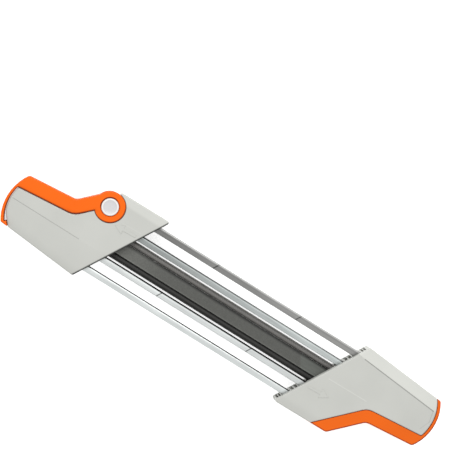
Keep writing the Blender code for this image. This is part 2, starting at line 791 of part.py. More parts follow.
def lever_outline():
    """Ring, arm along the notch, strap round the end and hook past the crown, in one outline."""
    outer = inset_corners()
    inner = lever_corners(0)
    pivot = pivot_place()
    outer_neck = line_reaches(moved_line(outer[1], outer[2], 0), pivot, RING_RADIUS)
    inner_neck = line_reaches(moved_line(inner[1], inner[2], 0), pivot, RING_RADIUS)
    first, last = inner_neck - pivot, outer_neck - pivot
    start_angle = math.atan2(first.y, first.x)
    sweep = 2 * math.pi + math.atan2(last.y, last.x) - start_angle
    ring = []
    for step in range(1, RING_STEPS):
        angle = start_angle + sweep * step / RING_STEPS
        ring.append(pivot + Vector((math.cos(angle), math.sin(angle))) * RING_RADIUS)
    centre = end_circle()[0]
    crown = inset_corners(end=STRAP_SETBACK)[-2]
    outer_strap = arc_points(centre, outer[3], crown, END_STEPS)
    inner_strap = arc_points(centre, inner[3], strap_end(), STRAP_STEPS)
    side_line = (crown, (outer[-1] - crown).normalized())
    hook_tip = line_reaches(side_line, pivot, hook_radius() + HOOK_TIP)
    hook_start = pivot + (strap_end() - pivot).normalized() * hook_radius()
    hook_end = pivot + (hook_tip - pivot).normalized() * hook_radius()
    hook_inner = arc_points(pivot, hook_start, hook_end, HOOK_STEPS)
    points = [outer_neck, outer[2], *outer_strap, hook_tip, *reversed(hook_inner),
              *reversed(inner_strap), inner[2], inner_neck, *ring]
    radii = [0, LEVER_NOTCH_FILLET, HEEL_FILLET] + [0] * (len(outer_strap) - 2)
    radii += [HOOK_CORNER_FILLET] + [0] * (1 + len(hook_inner)) + [0] * (len(inner_strap) - 1)
    radii += [INNER_HEEL_FILLET, LEVER_INNER_FILLET, 0] + [0] * len(ring)
    return rounded(points, radii)


def lever_channel(frame):
    """The hollow of the arm between its lips, less the ribs and the solid by the pivot."""
    corners = inset_corners(toe=-OVERRUN, rise=LEVER_WALL, grip=LEVER_WALL, end=LEVER_HEEL_BLOCK)
    hollow = outline_solid("lever_channel", rounded(corners, inner_radii()),
                           LEVER_GROUND_GAP + LEVER_LIP, LEVER_TOP_Z - LEVER_LIP, frame)
    solid = cylinders("lever_channel_solid", [pivot_place()], LEVER_SOLID_RADIUS, -OVERRUN,
                      LEVER_TOP_Z + OVERRUN, frame)
    heel, notch = at_shares(HEEL_SHARES), at_shares(NOTCH_SHARES)
    ribs = []
    for share in LEVER_RIB_SHARES:
        x = notch.x + (heel.x - notch.x) * share
        ribs.append(((x - LEVER_RIB / 2, -HALF_WIDTH, -OVERRUN),
                     (x + LEVER_RIB / 2, HALF_WIDTH, LEVER_TOP_Z + OVERRUN)))
    cut(hollow, solid, blocks("lever_channel_ribs", ribs, frame))
    return hollow


def build_lever(frame, orange):
    pivot = pivot_place()
    lever = rounded_block("lever", lever_outline(), LEVER_GROUND_GAP, LEVER_TOP_Z, LEVER_EDGE,
                          frame, PARTS)
    move_origin(lever, (pivot.x, pivot.y, 0))
    knuckle_room = cylinders("lever_knuckle_room", [pivot], KNUCKLE_RADIUS + KNUCKLE_GAP,
                             LOWER_EAR_TOP_Z, RING_BASE_Z, frame, steps=2 * TURN_STEPS)
    cap_hole = cylinders("lever_cap_hole", [pivot], CAP_RADIUS + RUNNING_GAP,
                         RING_BASE_Z - OVERRUN, LEVER_TOP_Z + OVERRUN, frame)
    shaft_hole = cylinders("lever_shaft_hole", [pivot], SHAFT_RADIUS + RUNNING_GAP, -OVERRUN,
                           LOWER_EAR_TOP_Z + OVERRUN, frame)
    cut(lever, knuckle_room, cap_hole, shaft_hole, lever_channel(frame))
    lever.data.materials.append(orange)


def build_pivot(frame, white, steel):
    pivot = pivot_place()
    flange_base = RING_BASE_Z + SEAM
    flange_top = flange_base + SHAFT_FLANGE
    cap_base = flange_top + SEAM
    cap_top = cap_base + CAP_THICKNESS
    profile = [(0, flange_top), (SHAFT_FLANGE_RADIUS, flange_top), (SHAFT_FLANGE_RADIUS, flange_base),
               (SHAFT_RADIUS, flange_base), (SHAFT_RADIUS, LEVER_GROUND_GAP),
               (0, LEVER_GROUND_GAP)]
    shaft = turned("cam_shaft", profile, frame, PARTS)
    shaft.location = (pivot.x, pivot.y, 0)
    rest_angle = LEVER_SWING / 2
    offset = Vector((math.cos(rest_angle), math.sin(rest_angle))) * CAM_OFFSET
    lobe = cylinders("cam_lobe", [pivot + offset], CAM_RADIUS, CLAMP_PLATE_BASE_Z,
                     CLAMP_PLATE_BASE_Z + CLAMP_PLATE, frame)
    join(shaft, lobe)
    shaft.data.materials.append(steel)

    cap = turned("pivot_cap", [(0, cap_top + CAP_DOME),
                               (CAP_RADIUS / 2, cap_top + CAP_DOME * CAP_DOME_SHARE),
                               (CAP_RADIUS - CAP_EDGE, cap_top), (CAP_RADIUS, cap_top - CAP_EDGE),
                               (CAP_RADIUS, cap_base), (0, cap_base)], frame, PARTS)
    cap.location = (pivot.x, pivot.y, 0)
    cap.data.materials.append(white)


def clamp_travel():
    return 2 * CAM_OFFSET * math.sin(LEVER_SWING / 2)


def clamp_fork_y():
    """Middle of the fork at rest: the lobe stands off the pivot by half the travel."""
    return pivot_place().y + clamp_travel() / 2


def pad_starts():
    """Where the clamp's pads begin across the handle, each beside its rail."""
    beside = RAIL_WIDTH / 2 + RUNNING_GAP + CLAMP_PAD_WIDTH
    return [offset - beside for offset in (-OUTER_RAIL_OFFSET, -INNER_RAIL_OFFSET,
                                           INNER_RAIL_OFFSET, OUTER_RAIL_OFFSET)]


def clamp_bar_ends():
    """Where the bar under the pads begins and ends across the handle."""
    starts = pad_starts()
    return starts[0] - CLAMP_PAD_INSET, starts[-1] + CLAMP_PAD_WIDTH + CLAMP_PAD_INSET


def build_clamp_bar(frame, steel):
    pivot = pivot_place()
    low = CLAMP_PLATE_BASE_Z
    high = low + CLAMP_PLATE
    bar_end = CLAMP_BAR_SETBACK + CLAMP_BAR_WIDTH
    first, last = clamp_bar_ends()
    opening = CAM_RADIUS + RUNNING_GAP
    outer = opening + CLAMP_FINGER
    middle = clamp_fork_y()
    finger_end = pivot.x + CLAMP_FINGER_REACH
    slot_start = pivot.x - CAM_RADIUS - RUNNING_GAP
    plate = [
        Vector((front_x(first) + CLAMP_BAR_SETBACK, first)),
        Vector((front_x(first) + bar_end, first)),
        Vector((front_x(middle - outer) + bar_end, middle - outer)),
        Vector((finger_end, middle - outer)),
        Vector((finger_end, middle - opening)),
        Vector((slot_start, middle - opening)),
        Vector((slot_start, middle + opening)),
        Vector((finger_end, middle + opening)),
        Vector((finger_end, middle + outer)),
        Vector((front_x(middle + outer) + bar_end, middle + outer)),
        Vector((front_x(last) + bar_end, last)),
        Vector((front_x(last) + CLAMP_BAR_SETBACK, last)),
    ]
    bar = outline_solid("clamp_bar", plate, low, high, frame, PARTS)
    move_origin(bar, (pivot.x, middle, 0))
    for index, start in enumerate(pad_starts()):
        pad = slanted_block("clamp_pad_{}".format(index),
                            (CLAMP_BAR_SETBACK + CLAMP_PAD_INSET, bar_end - CLAMP_PAD_INSET,
                             start, start + CLAMP_PAD_WIDTH),
                            low + CLAMP_PLATE / 2, RAIL_TOP_Z - CLAMP_PAD_DROP, frame)
        join(bar, pad)
    bar.data.materials.append(steel)


def travel_strip(low_y, high_y):
    """The slanted strip that a piece of the bar sweeps between two places across the handle."""
    lag = clamp_travel() / math.tan(FRONT_ANGLE)
    return (CLAMP_BAR_SETBACK - RUNNING_GAP, CLAMP_BAR_SETBACK + CLAMP_BAR_WIDTH + lag + RUNNING_GAP,
            low_y - clamp_travel() - RUNNING_GAP, high_y + RUNNING_GAP)


def clamp_pad_rooms(frame):
    """Room in the upper shell for the clamp's pads over their whole travel."""
    return [slanted_block("clamp_pad_room_{}".format(index),
                          travel_strip(start, start + CLAMP_PAD_WIDTH), PARTING_HIGH_Z - OVERRUN,
                          RAIL_TOP_Z - CLAMP_PAD_DROP + RUNNING_GAP, frame)
            for index, start in enumerate(pad_starts())]


def clamp_room(frame):
    """Room in the lower shell for the clamp bar, its stem and the cam lobe over their travel."""
    pivot = pivot_place()
    low = CLAMP_PLATE_BASE_Z - SEAM
    outer = CAM_RADIUS + RUNNING_GAP + CLAMP_FINGER + RUNNING_GAP
    middle = clamp_fork_y()
    stem = blocks("clamp_room_stem", [((front_x(middle) + CLAMP_BAR_SETBACK,
                                        middle - outer - clamp_travel(), low),
                                       (pivot.x + CLAMP_FINGER_REACH + RUNNING_GAP, middle + outer,
                                        PARTING_HIGH_Z))], frame)
    lobe = cylinders("clamp_room_lobe", [pivot], CAM_RADIUS + CAM_OFFSET + RUNNING_GAP, low,
                     PARTING_HIGH_Z, frame)
    bar = slanted_block("clamp_room_bar", travel_strip(*clamp_bar_ends()), low - SEAM,
                        PARTING_HIGH_Z, frame)
    return stem, lobe, bar


def build_lever_handle(frame, grey, orange, white, steel, dark):
    pivot = pivot_place()
    above, below = parting_cutters("lever_handle", frame)
    inside = rounded(inset_corners(toe=SIDE_WALL, rise=LEVER_NECK_WIDTH + SIDE_WALL,
                                   grip=LEVER_GRIP_WIDTH + SIDE_WALL,
                                   end=STRAP_SETBACK + STRAP_THICKNESS + 2 * SIDE_WALL,
                                   side=SIDE_WALL), inner_radii())
    ring_room = RING_RADIUS + LEVER_GAP
    hub = cylinders("lever_cavity_hub", [pivot], ring_room + CELL_RIB, -OVERRUN,
                    HANDLE_HEIGHT + OVERRUN, frame)
    hollow = rear_cavity("lever_cavity", inside, frame, [hub])
    cross = chamber("lever_chamber", frame)
    chamber_hub = cylinders("lever_chamber_hub", [pivot], ring_room + CELL_RIB, -OVERRUN,
                            HANDLE_HEIGHT + OVERRUN, frame)
    cut(cross, chamber_hub)
    upper_recess = cylinders("lever_upper_recess", [pivot], ring_room, RING_BASE_Z - RUNNING_GAP,
                             LEVER_TOP_Z + OVERRUN, frame, steps=2 * TURN_STEPS)
    lower_recess = cylinders("lever_lower_recess", [pivot], ring_room, -OVERRUN,
                             LOWER_EAR_TOP_Z + RUNNING_GAP, frame, steps=2 * TURN_STEPS)
    bore = cylinders("lever_bore", [pivot], SHAFT_RADIUS + RUNNING_GAP, -OVERRUN,
                     HANDLE_HEIGHT + OVERRUN, frame)
    tools = [*front_cells("lever_cell", frame), *holder_pocket("lever_holder_pocket", frame),
             cross, hollow, bore, *screw_holes("lever_screw_hole", frame)]
    halves = (
        ("lever_handle_upper_shell", [below, rail_slots("lever_rail_slots", frame), upper_recess,
                                      *clamp_pad_rooms(frame)]),
        ("lever_handle_lower_shell", [above, lower_recess, *clamp_room(frame)]),
    )
    for name, own_tools in halves:
        shell = rounded_block(name, lever_body_outline(), 0, HANDLE_HEIGHT, EDGE_ROUND, frame,
                              PARTS, lever_slope())
        cut(shell, *own_tools, *tools)
        shell.data.materials.append(grey)

    build_lever(frame, orange)
    build_pivot(frame, white, steel)
    build_clamp_bar(frame, steel)
    file_holder("lever_handle_file_holder", frame, dark)


# File holders

def file_holder(name, frame, dark):
    """The block that holds the file ends: two round sockets and a flat one between them."""
    half = HOLDER_HALF_WIDTH
    holder = slanted_block(name, (HOLDER_RECESS, HOLDER_DEPTH, -half, half), HOLDER_BASE_Z,
                           HOLDER_TOP_Z, frame, PARTS)
    ridge = slanted_block(name + "_ridge_block",
                          (HOLDER_RIDGE_START, HOLDER_RIDGE_START + HOLDER_RIDGE_WIDTH, -half, half),
                          HOLDER_BASE_Z - HOLDER_RIDGE, HOLDER_TOP_Z + HOLDER_RIDGE, frame)
    join(holder, ridge)
    radius = ROUND_FILE_DIAMETER / 2
    for side in (-1, 1):
        y = side * ROUND_FILE_OFFSET
        socket = lengthwise_cylinder("{}_socket_{}".format(name, side + 1), radius + RUNNING_GAP,
                                     front_x(-HALF_WIDTH), front_x(y) + FILE_SEAT + RUNNING_GAP,
                                     (y, round_file_z()), frame)
        cut(holder, socket)
    flat_half = FLAT_FILE_WIDTH / 2 + RUNNING_GAP
    base = flat_file_z()
    slot = blocks(name + "_slot", [((front_x(-HALF_WIDTH), -flat_half, base - RUNNING_GAP),
                                    (front_x(0) + FILE_SEAT + RUNNING_GAP, flat_half,
                                     base + FLAT_FILE_THICKNESS + RUNNING_GAP))], frame)
    cut(holder, slot)
    holder.data.materials.append(dark)


# Rails and files

def round_file_z():
    """The round files' axis: a share of the diameter below the rails' undersides."""
    return RAIL_BASE_Z - ROUND_FILE_DROP_SHARE * ROUND_FILE_DIAMETER


def flat_file_z():
    """The flat file's working face: below the rails by the depth setting."""
    return RAIL_BASE_Z - FLAT_FILE_DROP


def build_rails(chrome):
    names = (("outer_rail_low", -OUTER_RAIL_OFFSET), ("inner_rail_low", -INNER_RAIL_OFFSET),
             ("inner_rail_high", INNER_RAIL_OFFSET), ("outer_rail_high", OUTER_RAIL_OFFSET))
    for name, y in names:
        end = front_x(y) + RAIL_SEAT
        start = -front_x(-y) - RAIL_SEAT
        rail = blocks(name, [((start, y - RAIL_WIDTH / 2, RAIL_BASE_Z),
                              (end, y + RAIL_WIDTH / 2, RAIL_TOP_Z))], None, PARTS)
        break_edges(rail, RAIL_EDGE)
        notch_start = front_x(y) + RAIL_NOTCH_SETBACK
        notch = blocks(name + "_notch", [((notch_start, y - RAIL_WIDTH, RAIL_BASE_Z - OVERRUN),
                                          (notch_start + RAIL_NOTCH_LENGTH, y + RAIL_WIDTH,
                                           RAIL_BASE_Z + RAIL_NOTCH_DEPTH))], None)
        cut(rail, notch)
        rail.data.materials.append(chrome)


def build_files(file_steel):
    for name, y in (("round_file_low", -ROUND_FILE_OFFSET), ("round_file_high", ROUND_FILE_OFFSET)):
        start = -front_x(-y) - FILE_SEAT
        end = front_x(y) + FILE_SEAT
        file = lengthwise_cylinder(name, ROUND_FILE_DIAMETER / 2, start, end, (y, round_file_z()),
                                   None, PARTS)
        move_origin(file, ((start + end) / 2, y, round_file_z()))
        break_edges(file, FILE_EDGE)
        file.data.materials.append(file_steel)
    base = flat_file_z()
    half_length = HALF_BAY + FILE_SEAT
    flat = blocks("flat_file", [((-half_length, -FLAT_FILE_WIDTH / 2, base),
                                 (half_length, FLAT_FILE_WIDTH / 2, base + FLAT_FILE_THICKNESS))],
                  None, PARTS)
    break_edges(flat, FILE_EDGE)
    flat.data.materials.append(file_steel)


# Screws

def build_screws(handle, frame, steel):
    head_base = SCREW_HEAD_RECESS
    head_top = head_base + SCREW_HEAD
    for number, place in enumerate(screw_places(), start=1):
        screw = turned("{}_screw_{}".format(handle, number),
                       [(0, SCREW_TOP_Z), (SCREW_RADIUS, SCREW_TOP_Z), (SCREW_RADIUS, head_top),
                        (SCREW_HEAD_RADIUS, head_top), (SCREW_HEAD_RADIUS, head_base),
                        (0, head_base)], frame, PARTS)
        screw.location = (place.x, place.y, 0)
        screw.modifiers["turn"].steps = FILE_STEPS
        screw.modifiers["turn"].render_steps = FILE_STEPS
        screw.data.materials.append(steel)


PARTS, CUTTERS = start_scene()

light_grey = plastic("light_grey_plastic", (0.62, 0.63, 0.59), 0.45)
orange_plastic = plastic("orange_plastic", (1.0, 0.14, 0.01), 0.4)
white_plastic = plastic("white_plastic", (0.85, 0.85, 0.84), 0.35)
dark_plastic = plastic("dark_plastic", (0.03, 0.03, 0.03), 0.5)
bright_steel = surface("bright_steel", (0.75, 0.76, 0.78), 0.2, 1)
file_steel = surface("file_steel", (0.14, 0.14, 0.13), 0.45, 1)
zinc_steel = surface("zinc_steel", (0.5, 0.5, 0.5), 0.35, 1)

fixed_frame = handle_frame("fixed_handle_frame", 0)
lever_frame = handle_frame("lever_handle_frame", math.pi)

build_fixed_handle(fixed_frame, light_grey, orange_plastic, dark_plastic)
build_lever_handle(lever_frame, light_grey, orange_plastic, white_plastic, zinc_steel, dark_plastic)
build_rails(bright_steel)
build_files(file_steel)
build_screws("fixed_handle", fixed_frame, zinc_steel)
build_screws("lever_handle", lever_frame, zinc_steel)
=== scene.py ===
import math

import bmesh
import bpy
from mathutils import Matrix, Vector


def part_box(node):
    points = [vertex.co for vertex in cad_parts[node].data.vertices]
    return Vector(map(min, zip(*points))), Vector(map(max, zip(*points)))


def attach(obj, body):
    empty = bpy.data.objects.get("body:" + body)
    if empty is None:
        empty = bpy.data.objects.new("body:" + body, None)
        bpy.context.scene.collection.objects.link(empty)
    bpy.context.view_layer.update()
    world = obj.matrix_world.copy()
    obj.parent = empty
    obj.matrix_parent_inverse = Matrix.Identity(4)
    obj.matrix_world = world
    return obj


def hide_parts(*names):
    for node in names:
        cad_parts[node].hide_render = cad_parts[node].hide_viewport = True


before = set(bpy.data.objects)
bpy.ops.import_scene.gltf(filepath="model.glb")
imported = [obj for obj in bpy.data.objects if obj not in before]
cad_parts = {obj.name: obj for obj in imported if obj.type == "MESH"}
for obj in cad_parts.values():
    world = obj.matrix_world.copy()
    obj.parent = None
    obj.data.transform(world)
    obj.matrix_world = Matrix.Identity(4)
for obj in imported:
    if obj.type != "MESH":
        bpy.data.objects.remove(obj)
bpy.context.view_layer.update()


# Guide rails
# Four flat steel bars with rounded edges, nickel plated, seated in slots of both handles.
# The two marked ones carry scribed ticks at the filing angle, cut across their upper face.

# Streaks are painted highlight and painted shade lines beside the far edge, as (distance from
# the far edge, width, tone), and the last pair is the tone of painted reflection toward the
# lever handle and toward the fixed handle. The four bars are the same plated steel: their greys
# differ as painted reflection, and edge is the grey of the painted shade on the far edge.
RAILS = {
    "outer_rail_low": {
        "ticks": (), "grey": (0.78, 0.815, 0.805), "edge": 0.10, "turn": 0.3, "round": 0.0013,
        "streaks": ((0.0003, 0.0018, -1.15),), "painted_reflection_drift": (0, 0)},
    "inner_rail_low": {
        "ticks": (-0.0492, 0.0342), "grey": (0.76, 0.79, 0.78), "edge": 0.012, "turn": 0.08,
        "round": 0.0013, "streaks": ((0.0003, 0.0024, -1.70),), "painted_reflection_drift": (0, 0)},
    "inner_rail_high": {
        "ticks": (), "grey": (0.455, 0.487, 0.48), "edge": 0.16, "turn": 0.35, "round": 0.0010,
        "streaks": ((0.0016, 0.0014, 0.28), (0.0007, 0.0014, -0.80)), "painted_reflection_drift": (-0.18, 0.28)},
    "outer_rail_high": {
        "ticks": (-0.0227, 0.0545), "grey": (0.300, 0.300, 0.292), "edge": 0.10, "turn": 0.4,
        "round": 0.0005, "streaks": ((0.0006, 0.0012, 1.20), (0.0021, 0.0012, -0.22)),
        "painted_reflection_drift": (-0.17, 0.22)},
}
RAIL_ROUND = 0.0005
RAIL_ROUND_STEPS = 4
TICK_SLANT = math.tan(math.radians(30))
TICK_WIDTH = 0.0008
TICK_DEPTH = 0.0004
# A darker line along each scribed tick, of this width and of the tone below.
TICK_LINE_WIDTH = 0.0013
TICK_TONE = -0.65
NOTCH_FROM_END = 0.0085
NOTCH_LENGTH = 0.0030
NOTCH_DEPTH = 0.0015
NOTCH_EDGE = 0.00002
SAME_POINT = 0.000001
SHARP_TURN = math.radians(35)
DRAWN_STREAKS = (9, 1400, 1400)
PLATE_PATCHES = (38, 260, 260)
PATCH_SHARE = 0.4
PLATE_SHADES = (0.92, 1.08)
PLATE_SPAN = (0.35, 0.65)
PLATE_ROUGHNESS = (0.28, 0.42)
EDGE_FADE = 0.3
EDGE_COOLNESS = 1.02
NEAR_SIDE = (-0.6, -0.95)
NEAR_SIDE_SHADE_GREY = (0.27, 0.28, 0.28)
FAR_SIDE = (0.90, 0.99)
FAR_SIDE_SHADE_GREY = (0.15, 0.155, 0.155)
# Painted shade on the rails beside the front of the fixed handle.
PAINTED_SHADE_BY_FIXED_HANDLE = ((0.1129, 0.0394), (0.0691, -0.0364), 0.0032, -0.5)
PAINTED_REFLECTION_REACH = 0.07
NOISE_SPAN = (0.3, 0.7)
LINE_SIDE = 0.03
LINE_TOP = 0.20


def new_finish(name):
    """A material with its shader and the coordinates of the piece, for the nodes that follow."""
    material = bpy.data.materials.new(name)
    material.use_nodes = True
    nodes = material.node_tree.nodes
    links = material.node_tree.links
    shader = nodes["Principled BSDF"]
    place = nodes.new("ShaderNodeTexCoord").outputs["Object"]
    return material, nodes, links, shader, place


def feed(links, socket, value):
    """Gives a socket its value, which is another node's socket, a number or a colour."""
    if isinstance(value, bpy.types.NodeSocket):
        links.new(value, socket)
    else:
        socket.default_value = value


def number_step(nodes, links, operation, *values):
    step = nodes.new("ShaderNodeMath")
    step.operation = operation
    for socket, value in zip(step.inputs, values):
        feed(links, socket, value)
    return step.outputs["Value"]


def vector_step(nodes, links, operation, first, second, result="Vector"):
    step = nodes.new("ShaderNodeVectorMath")
    step.operation = operation
    feed(links, step.inputs[0], first)
    feed(links, step.inputs[1], second)
    return step.outputs[result]


def scaled(nodes, links, vector, factor):
    step = nodes.new("ShaderNodeVectorMath")
    step.operation = "SCALE"
    feed(links, step.inputs[0], vector)
    feed(links, step.inputs["Scale"], factor)
    return step.outputs["Vector"]


def blended(nodes, links, kind, share, first, second):
    """The first number (FLOAT) or colour (RGBA), giving way to the second as the share rises."""
    mix = nodes.new("ShaderNodeMix")
    mix.data_type = kind
    feed(links, mix.inputs["Factor"], share)
    feed(links, mix.inputs["A"], first)
    feed(links, mix.inputs["B"], second)
    return mix.outputs["Result"]


def ramped(nodes, links, value, span, low=0, high=1, curve="LINEAR"):
    """A value that goes from low to high while the one given goes through its span."""
    ramp = nodes.new("ShaderNodeMapRange")
    ramp.interpolation_type = curve
    ramp.inputs["From Min"].default_value = span[0]
    ramp.inputs["From Max"].default_value = span[1]
    ramp.inputs["To Min"].default_value = low
    ramp.inputs["To Max"].default_value = high
    links.new(value, ramp.inputs["Value"])
    return ramp.outputs["Result"]


def facing(nodes, links, axis):
    """How far the surface turns toward an axis, from -1 to 1."""
    split = nodes.new("ShaderNodeSeparateXYZ")
    links.new(nodes.new("ShaderNodeNewGeometry").outputs["Normal"], split.inputs["Vector"])
    return split.outputs[axis]


def stretched(nodes, links, place, scale):
    """The piece's coordinates, scaled by a different number along each axis."""
    mapping = nodes.new("ShaderNodeMapping")
    mapping.inputs["Scale"].default_value = scale
    links.new(place, mapping.inputs["Vector"])
    return mapping.outputs["Vector"]


def grain(nodes, links, place, scale, detail, roughness=0.5):
    noise = nodes.new("ShaderNodeTexNoise")
    noise.inputs["Scale"].default_value = scale
    noise.inputs["Detail"].default_value = detail
    noise.inputs["Roughness"].default_value = roughness
    links.new(place, noise.inputs["Vector"])
    return noise.outputs["Fac"]


def two_tone(nodes, links, value, span, tones):
    """The first tone where the value is at the start of the span, the second at its end."""
    ramp = nodes.new("ShaderNodeValToRGB")
    for element, place, tone in zip(ramp.color_ramp.elements, span, tones):
        element.position = place
        element.color = (*tone, 1)
    links.new(value, ramp.inputs["Fac"])
    return ramp.outputs["Color"]


def shades(colour, factors):
    """The colour made darker or lighter by each factor, but never past white."""
    return [tuple(min(1, value * factor) for value in colour) for factor in factors]


def raised(nodes, links, height, depth, below=None):
    """Relief from a height value; below is an earlier relief that it lies on."""
    bump = nodes.new("ShaderNodeBump")
    bump.inputs["Distance"].default_value = depth
    bump.inputs["Strength"].default_value = 1
    links.new(height, bump.inputs["Height"])
    if below:
        links.new(below, bump.inputs["Normal"])
    return bump.outputs["Normal"]


def along_line(nodes, links, place, start, end, width):
    """1 on a line drawn on the upper face, fading to 0 at half its width on both sides."""
    way = Vector(end) - Vector(start)
    direction = (*way.normalized(), 0)
    offset = vector_step(nodes, links, "SUBTRACT", place, (*start, 0))
    flat = vector_step(nodes, links, "MULTIPLY", offset, (1, 1, 0))
    reach = vector_step(nodes, links, "DOT_PRODUCT", flat, direction, "Value")
    held = nodes.new("ShaderNodeClamp")
    held.inputs["Max"].default_value = way.length
    links.new(reach, held.inputs["Value"])
    nearest = scaled(nodes, links, direction, held.outputs["Result"])
    apart = vector_step(nodes, links, "DISTANCE", flat, nearest, "Value")
    on_top = ramped(nodes, links, facing(nodes, links, "Z"), (LINE_SIDE, LINE_TOP))
    near = ramped(nodes, links, apart, (width / 2, 0), curve="SMOOTHSTEP")
    return number_step(nodes, links, "MULTIPLY", near, on_top)


def left_of_line(nodes, links, place, start, end, width):
    """0 on the line and to its right, rising to 1 a width away on its left."""
    way = (Vector(end) - Vector(start)).normalized()
    offset = vector_step(nodes, links, "SUBTRACT", place, (*start, 0))
    beside = vector_step(nodes, links, "DOT_PRODUCT", offset, (-way.y, way.x, 0), "Value")
    return ramped(nodes, links, beside, (0, width), curve="SMOOTHSTEP")


def marked(nodes, links, place, face, lines, strips):
    """The colour with its marks: thin lines as (start, end, width, tone), strips left of a line.

    Gives back the colour and the marks' strength too, which is 1 where there is no mark.
    """
    strength = 1
    for marks, mask in ((lines, along_line), (strips, left_of_line)):
        for start, end, width, tone in marks:
            shade = mask(nodes, links, place, start, end, width)
            strength = number_step(nodes, links, "MULTIPLY_ADD", shade, tone, strength)
    if not lines and not strips:
        return face, None
    strength = number_step(nodes, links, "MAXIMUM", strength, 0)
    return scaled(nodes, links, face, strength), strength


def plated_steel(name, looks, lines):
    """Drawn and plated bar: fine lengthwise streaks, its upper face bright, and painted shade on
    its far edge and side walls.

    Painted reflection makes it lighter or darker from the middle toward the lever handle and
    toward the fixed handle, and painted shade darkens it beside the fixed handle's front.
    """
    material, nodes, links, shader, place = new_finish(name)
    streaks = grain(nodes, links, stretched(nodes, links, place, DRAWN_STREAKS),
                    scale=1, detail=5, roughness=0.6)
    patches = grain(nodes, links, stretched(nodes, links, place, PLATE_PATCHES),
                    scale=1, detail=3)
    tone = blended(nodes, links, "FLOAT", PATCH_SHARE, streaks, patches)
    face = two_tone(nodes, links, tone, PLATE_SPAN, shades(looks["grey"], PLATE_SHADES))
    # Painted shade: the far edge and both side walls turn darker by the way they face.
    side = facing(nodes, links, "Y")
    edge, turn = looks["edge"], looks["turn"]
    far_edge_shade_grey = (edge, edge * EDGE_COOLNESS, edge * EDGE_COOLNESS)
    for span, grey in (((turn, turn + EDGE_FADE), far_edge_shade_grey), (NEAR_SIDE, NEAR_SIDE_SHADE_GREY),
                       (FAR_SIDE, FAR_SIDE_SHADE_GREY)):
        turned = ramped(nodes, links, side, span, curve="SMOOTHSTEP")
        face = blended(nodes, links, "RGBA", turned, face, (*grey, 1))
    # Painted shade beside the fixed handle's front, and painted reflection toward each handle.
    strips = [PAINTED_SHADE_BY_FIXED_HANDLE]
    for across, tone in zip((1, -1), looks["painted_reflection_drift"]):
        if tone:
            strips.append(((0, -across), (0, across), PAINTED_REFLECTION_REACH, tone))
    colour_out = marked(nodes, links, place, face, lines, strips)[0]
    links.new(colour_out, shader.inputs["Base Color"])
    shader.inputs["Metallic"].default_value = 0.85
    links.new(ramped(nodes, links, patches, NOISE_SPAN, *PLATE_ROUGHNESS),
              shader.inputs["Roughness"])
    links.new(raised(nodes, links, streaks, depth=0.00003), shader.inputs["Normal"])
    return material


def bar_section(low, high, radii, steps):
    """Corners of a bar's cross-section as (y, z), rounded by four radii from the far upper one."""
    section = []
    for corner, radius in enumerate(radii):
        angle = math.pi / 2 * corner
        middle_y = high[0] - radius if corner in (0, 3) else low[0] + radius
        middle_z = high[1] - radius if corner in (0, 1) else low[1] + radius
        for step in range(steps + 1):
            turn = angle + math.pi / 2 * step / steps
            section.append((middle_y + radius * math.cos(turn),
                            middle_z + radius * math.sin(turn)))
    return section


def lofted(name, rings):
    """A piece lofted through rings of points, with flat ends."""
    shape = bmesh.new()
    loops = [[shape.verts.new(point) for point in ring] for ring in rings]
    for near, far in zip(loops, loops[1:]):
        for index in range(len(near)):
            shape.faces.new((near[index - 1], near[index], far[index], far[index - 1]))
    shape.faces.new(reversed(loops[0]))
    shape.faces.new(loops[-1])
    bmesh.ops.remove_doubles(shape, verts=shape.verts, dist=SAME_POINT)
    bmesh.ops.dissolve_degenerate(shape, edges=shape.edges, dist=SAME_POINT)
    bmesh.ops.recalc_face_normals(shape, faces=shape.faces)
    mesh = bpy.data.meshes.new(name)
    shape.to_mesh(mesh)
    shape.free()
    mesh.shade_smooth()
    mesh.set_sharp_from_angle(angle=SHARP_TURN)
    piece = bpy.data.objects.new(name, mesh)
    bpy.context.scene.collection.objects.link(piece)
    return piece


def rail_stations(low, high, ticks):
    """Places along a rail as (x, dip of its upper face, rise of its lower face, slanted)."""
    stations = [(low.x, 0, 0, False), (low.x + RAIL_ROUND, 0, 0, False)]
    for tick in ticks:
        for offset, dip in ((-0.5, 0), (-0.25, TICK_DEPTH), (0.25, TICK_DEPTH), (0.5, 0)):
            stations.append((tick + offset * TICK_WIDTH, dip, 0, True))
    notch = high.x - NOTCH_FROM_END
    for offset, rise in ((0, 0), (NOTCH_EDGE, NOTCH_DEPTH), (NOTCH_LENGTH, NOTCH_DEPTH),
                         (NOTCH_LENGTH + NOTCH_EDGE, 0)):
        stations.append((notch + offset, 0, rise, False))
    return stations + [(high.x - RAIL_ROUND, 0, 0, False), (high.x, 0, 0, False)]


def rail_rings(low, high, looks):
    """A rail's cross-sections from end to end, with its ticks, its notch and its drawn-in ends."""
    radii = (looks["round"], RAIL_ROUND, RAIL_ROUND, RAIL_ROUND)
    section = bar_section(low.yz, high.yz, radii, RAIL_ROUND_STEPS)
    middle_y = (low.y + high.y) / 2
    stations = rail_stations(low, high, looks["ticks"])
    rings = []
    for index, (x, dip, rise, slanted) in enumerate(stations):
        ring = []
        slant = TICK_SLANT if slanted else 0
        drawn_in = RAIL_ROUND if index in (0, len(stations) - 1) else 0
        for y, z in section:
            y = max(low.y + drawn_in, min(high.y - drawn_in, y))
            z = max(low.z + drawn_in, min(high.z - drawn_in, z))
            if dip and z > high.z - RAIL_ROUND - SAME_POINT:
                z -= dip
            if rise and z < low.z + rise:
                z = low.z + rise
            ring.append((x + (y - middle_y) * slant, y, z))
        rings.append(ring)
    return rings


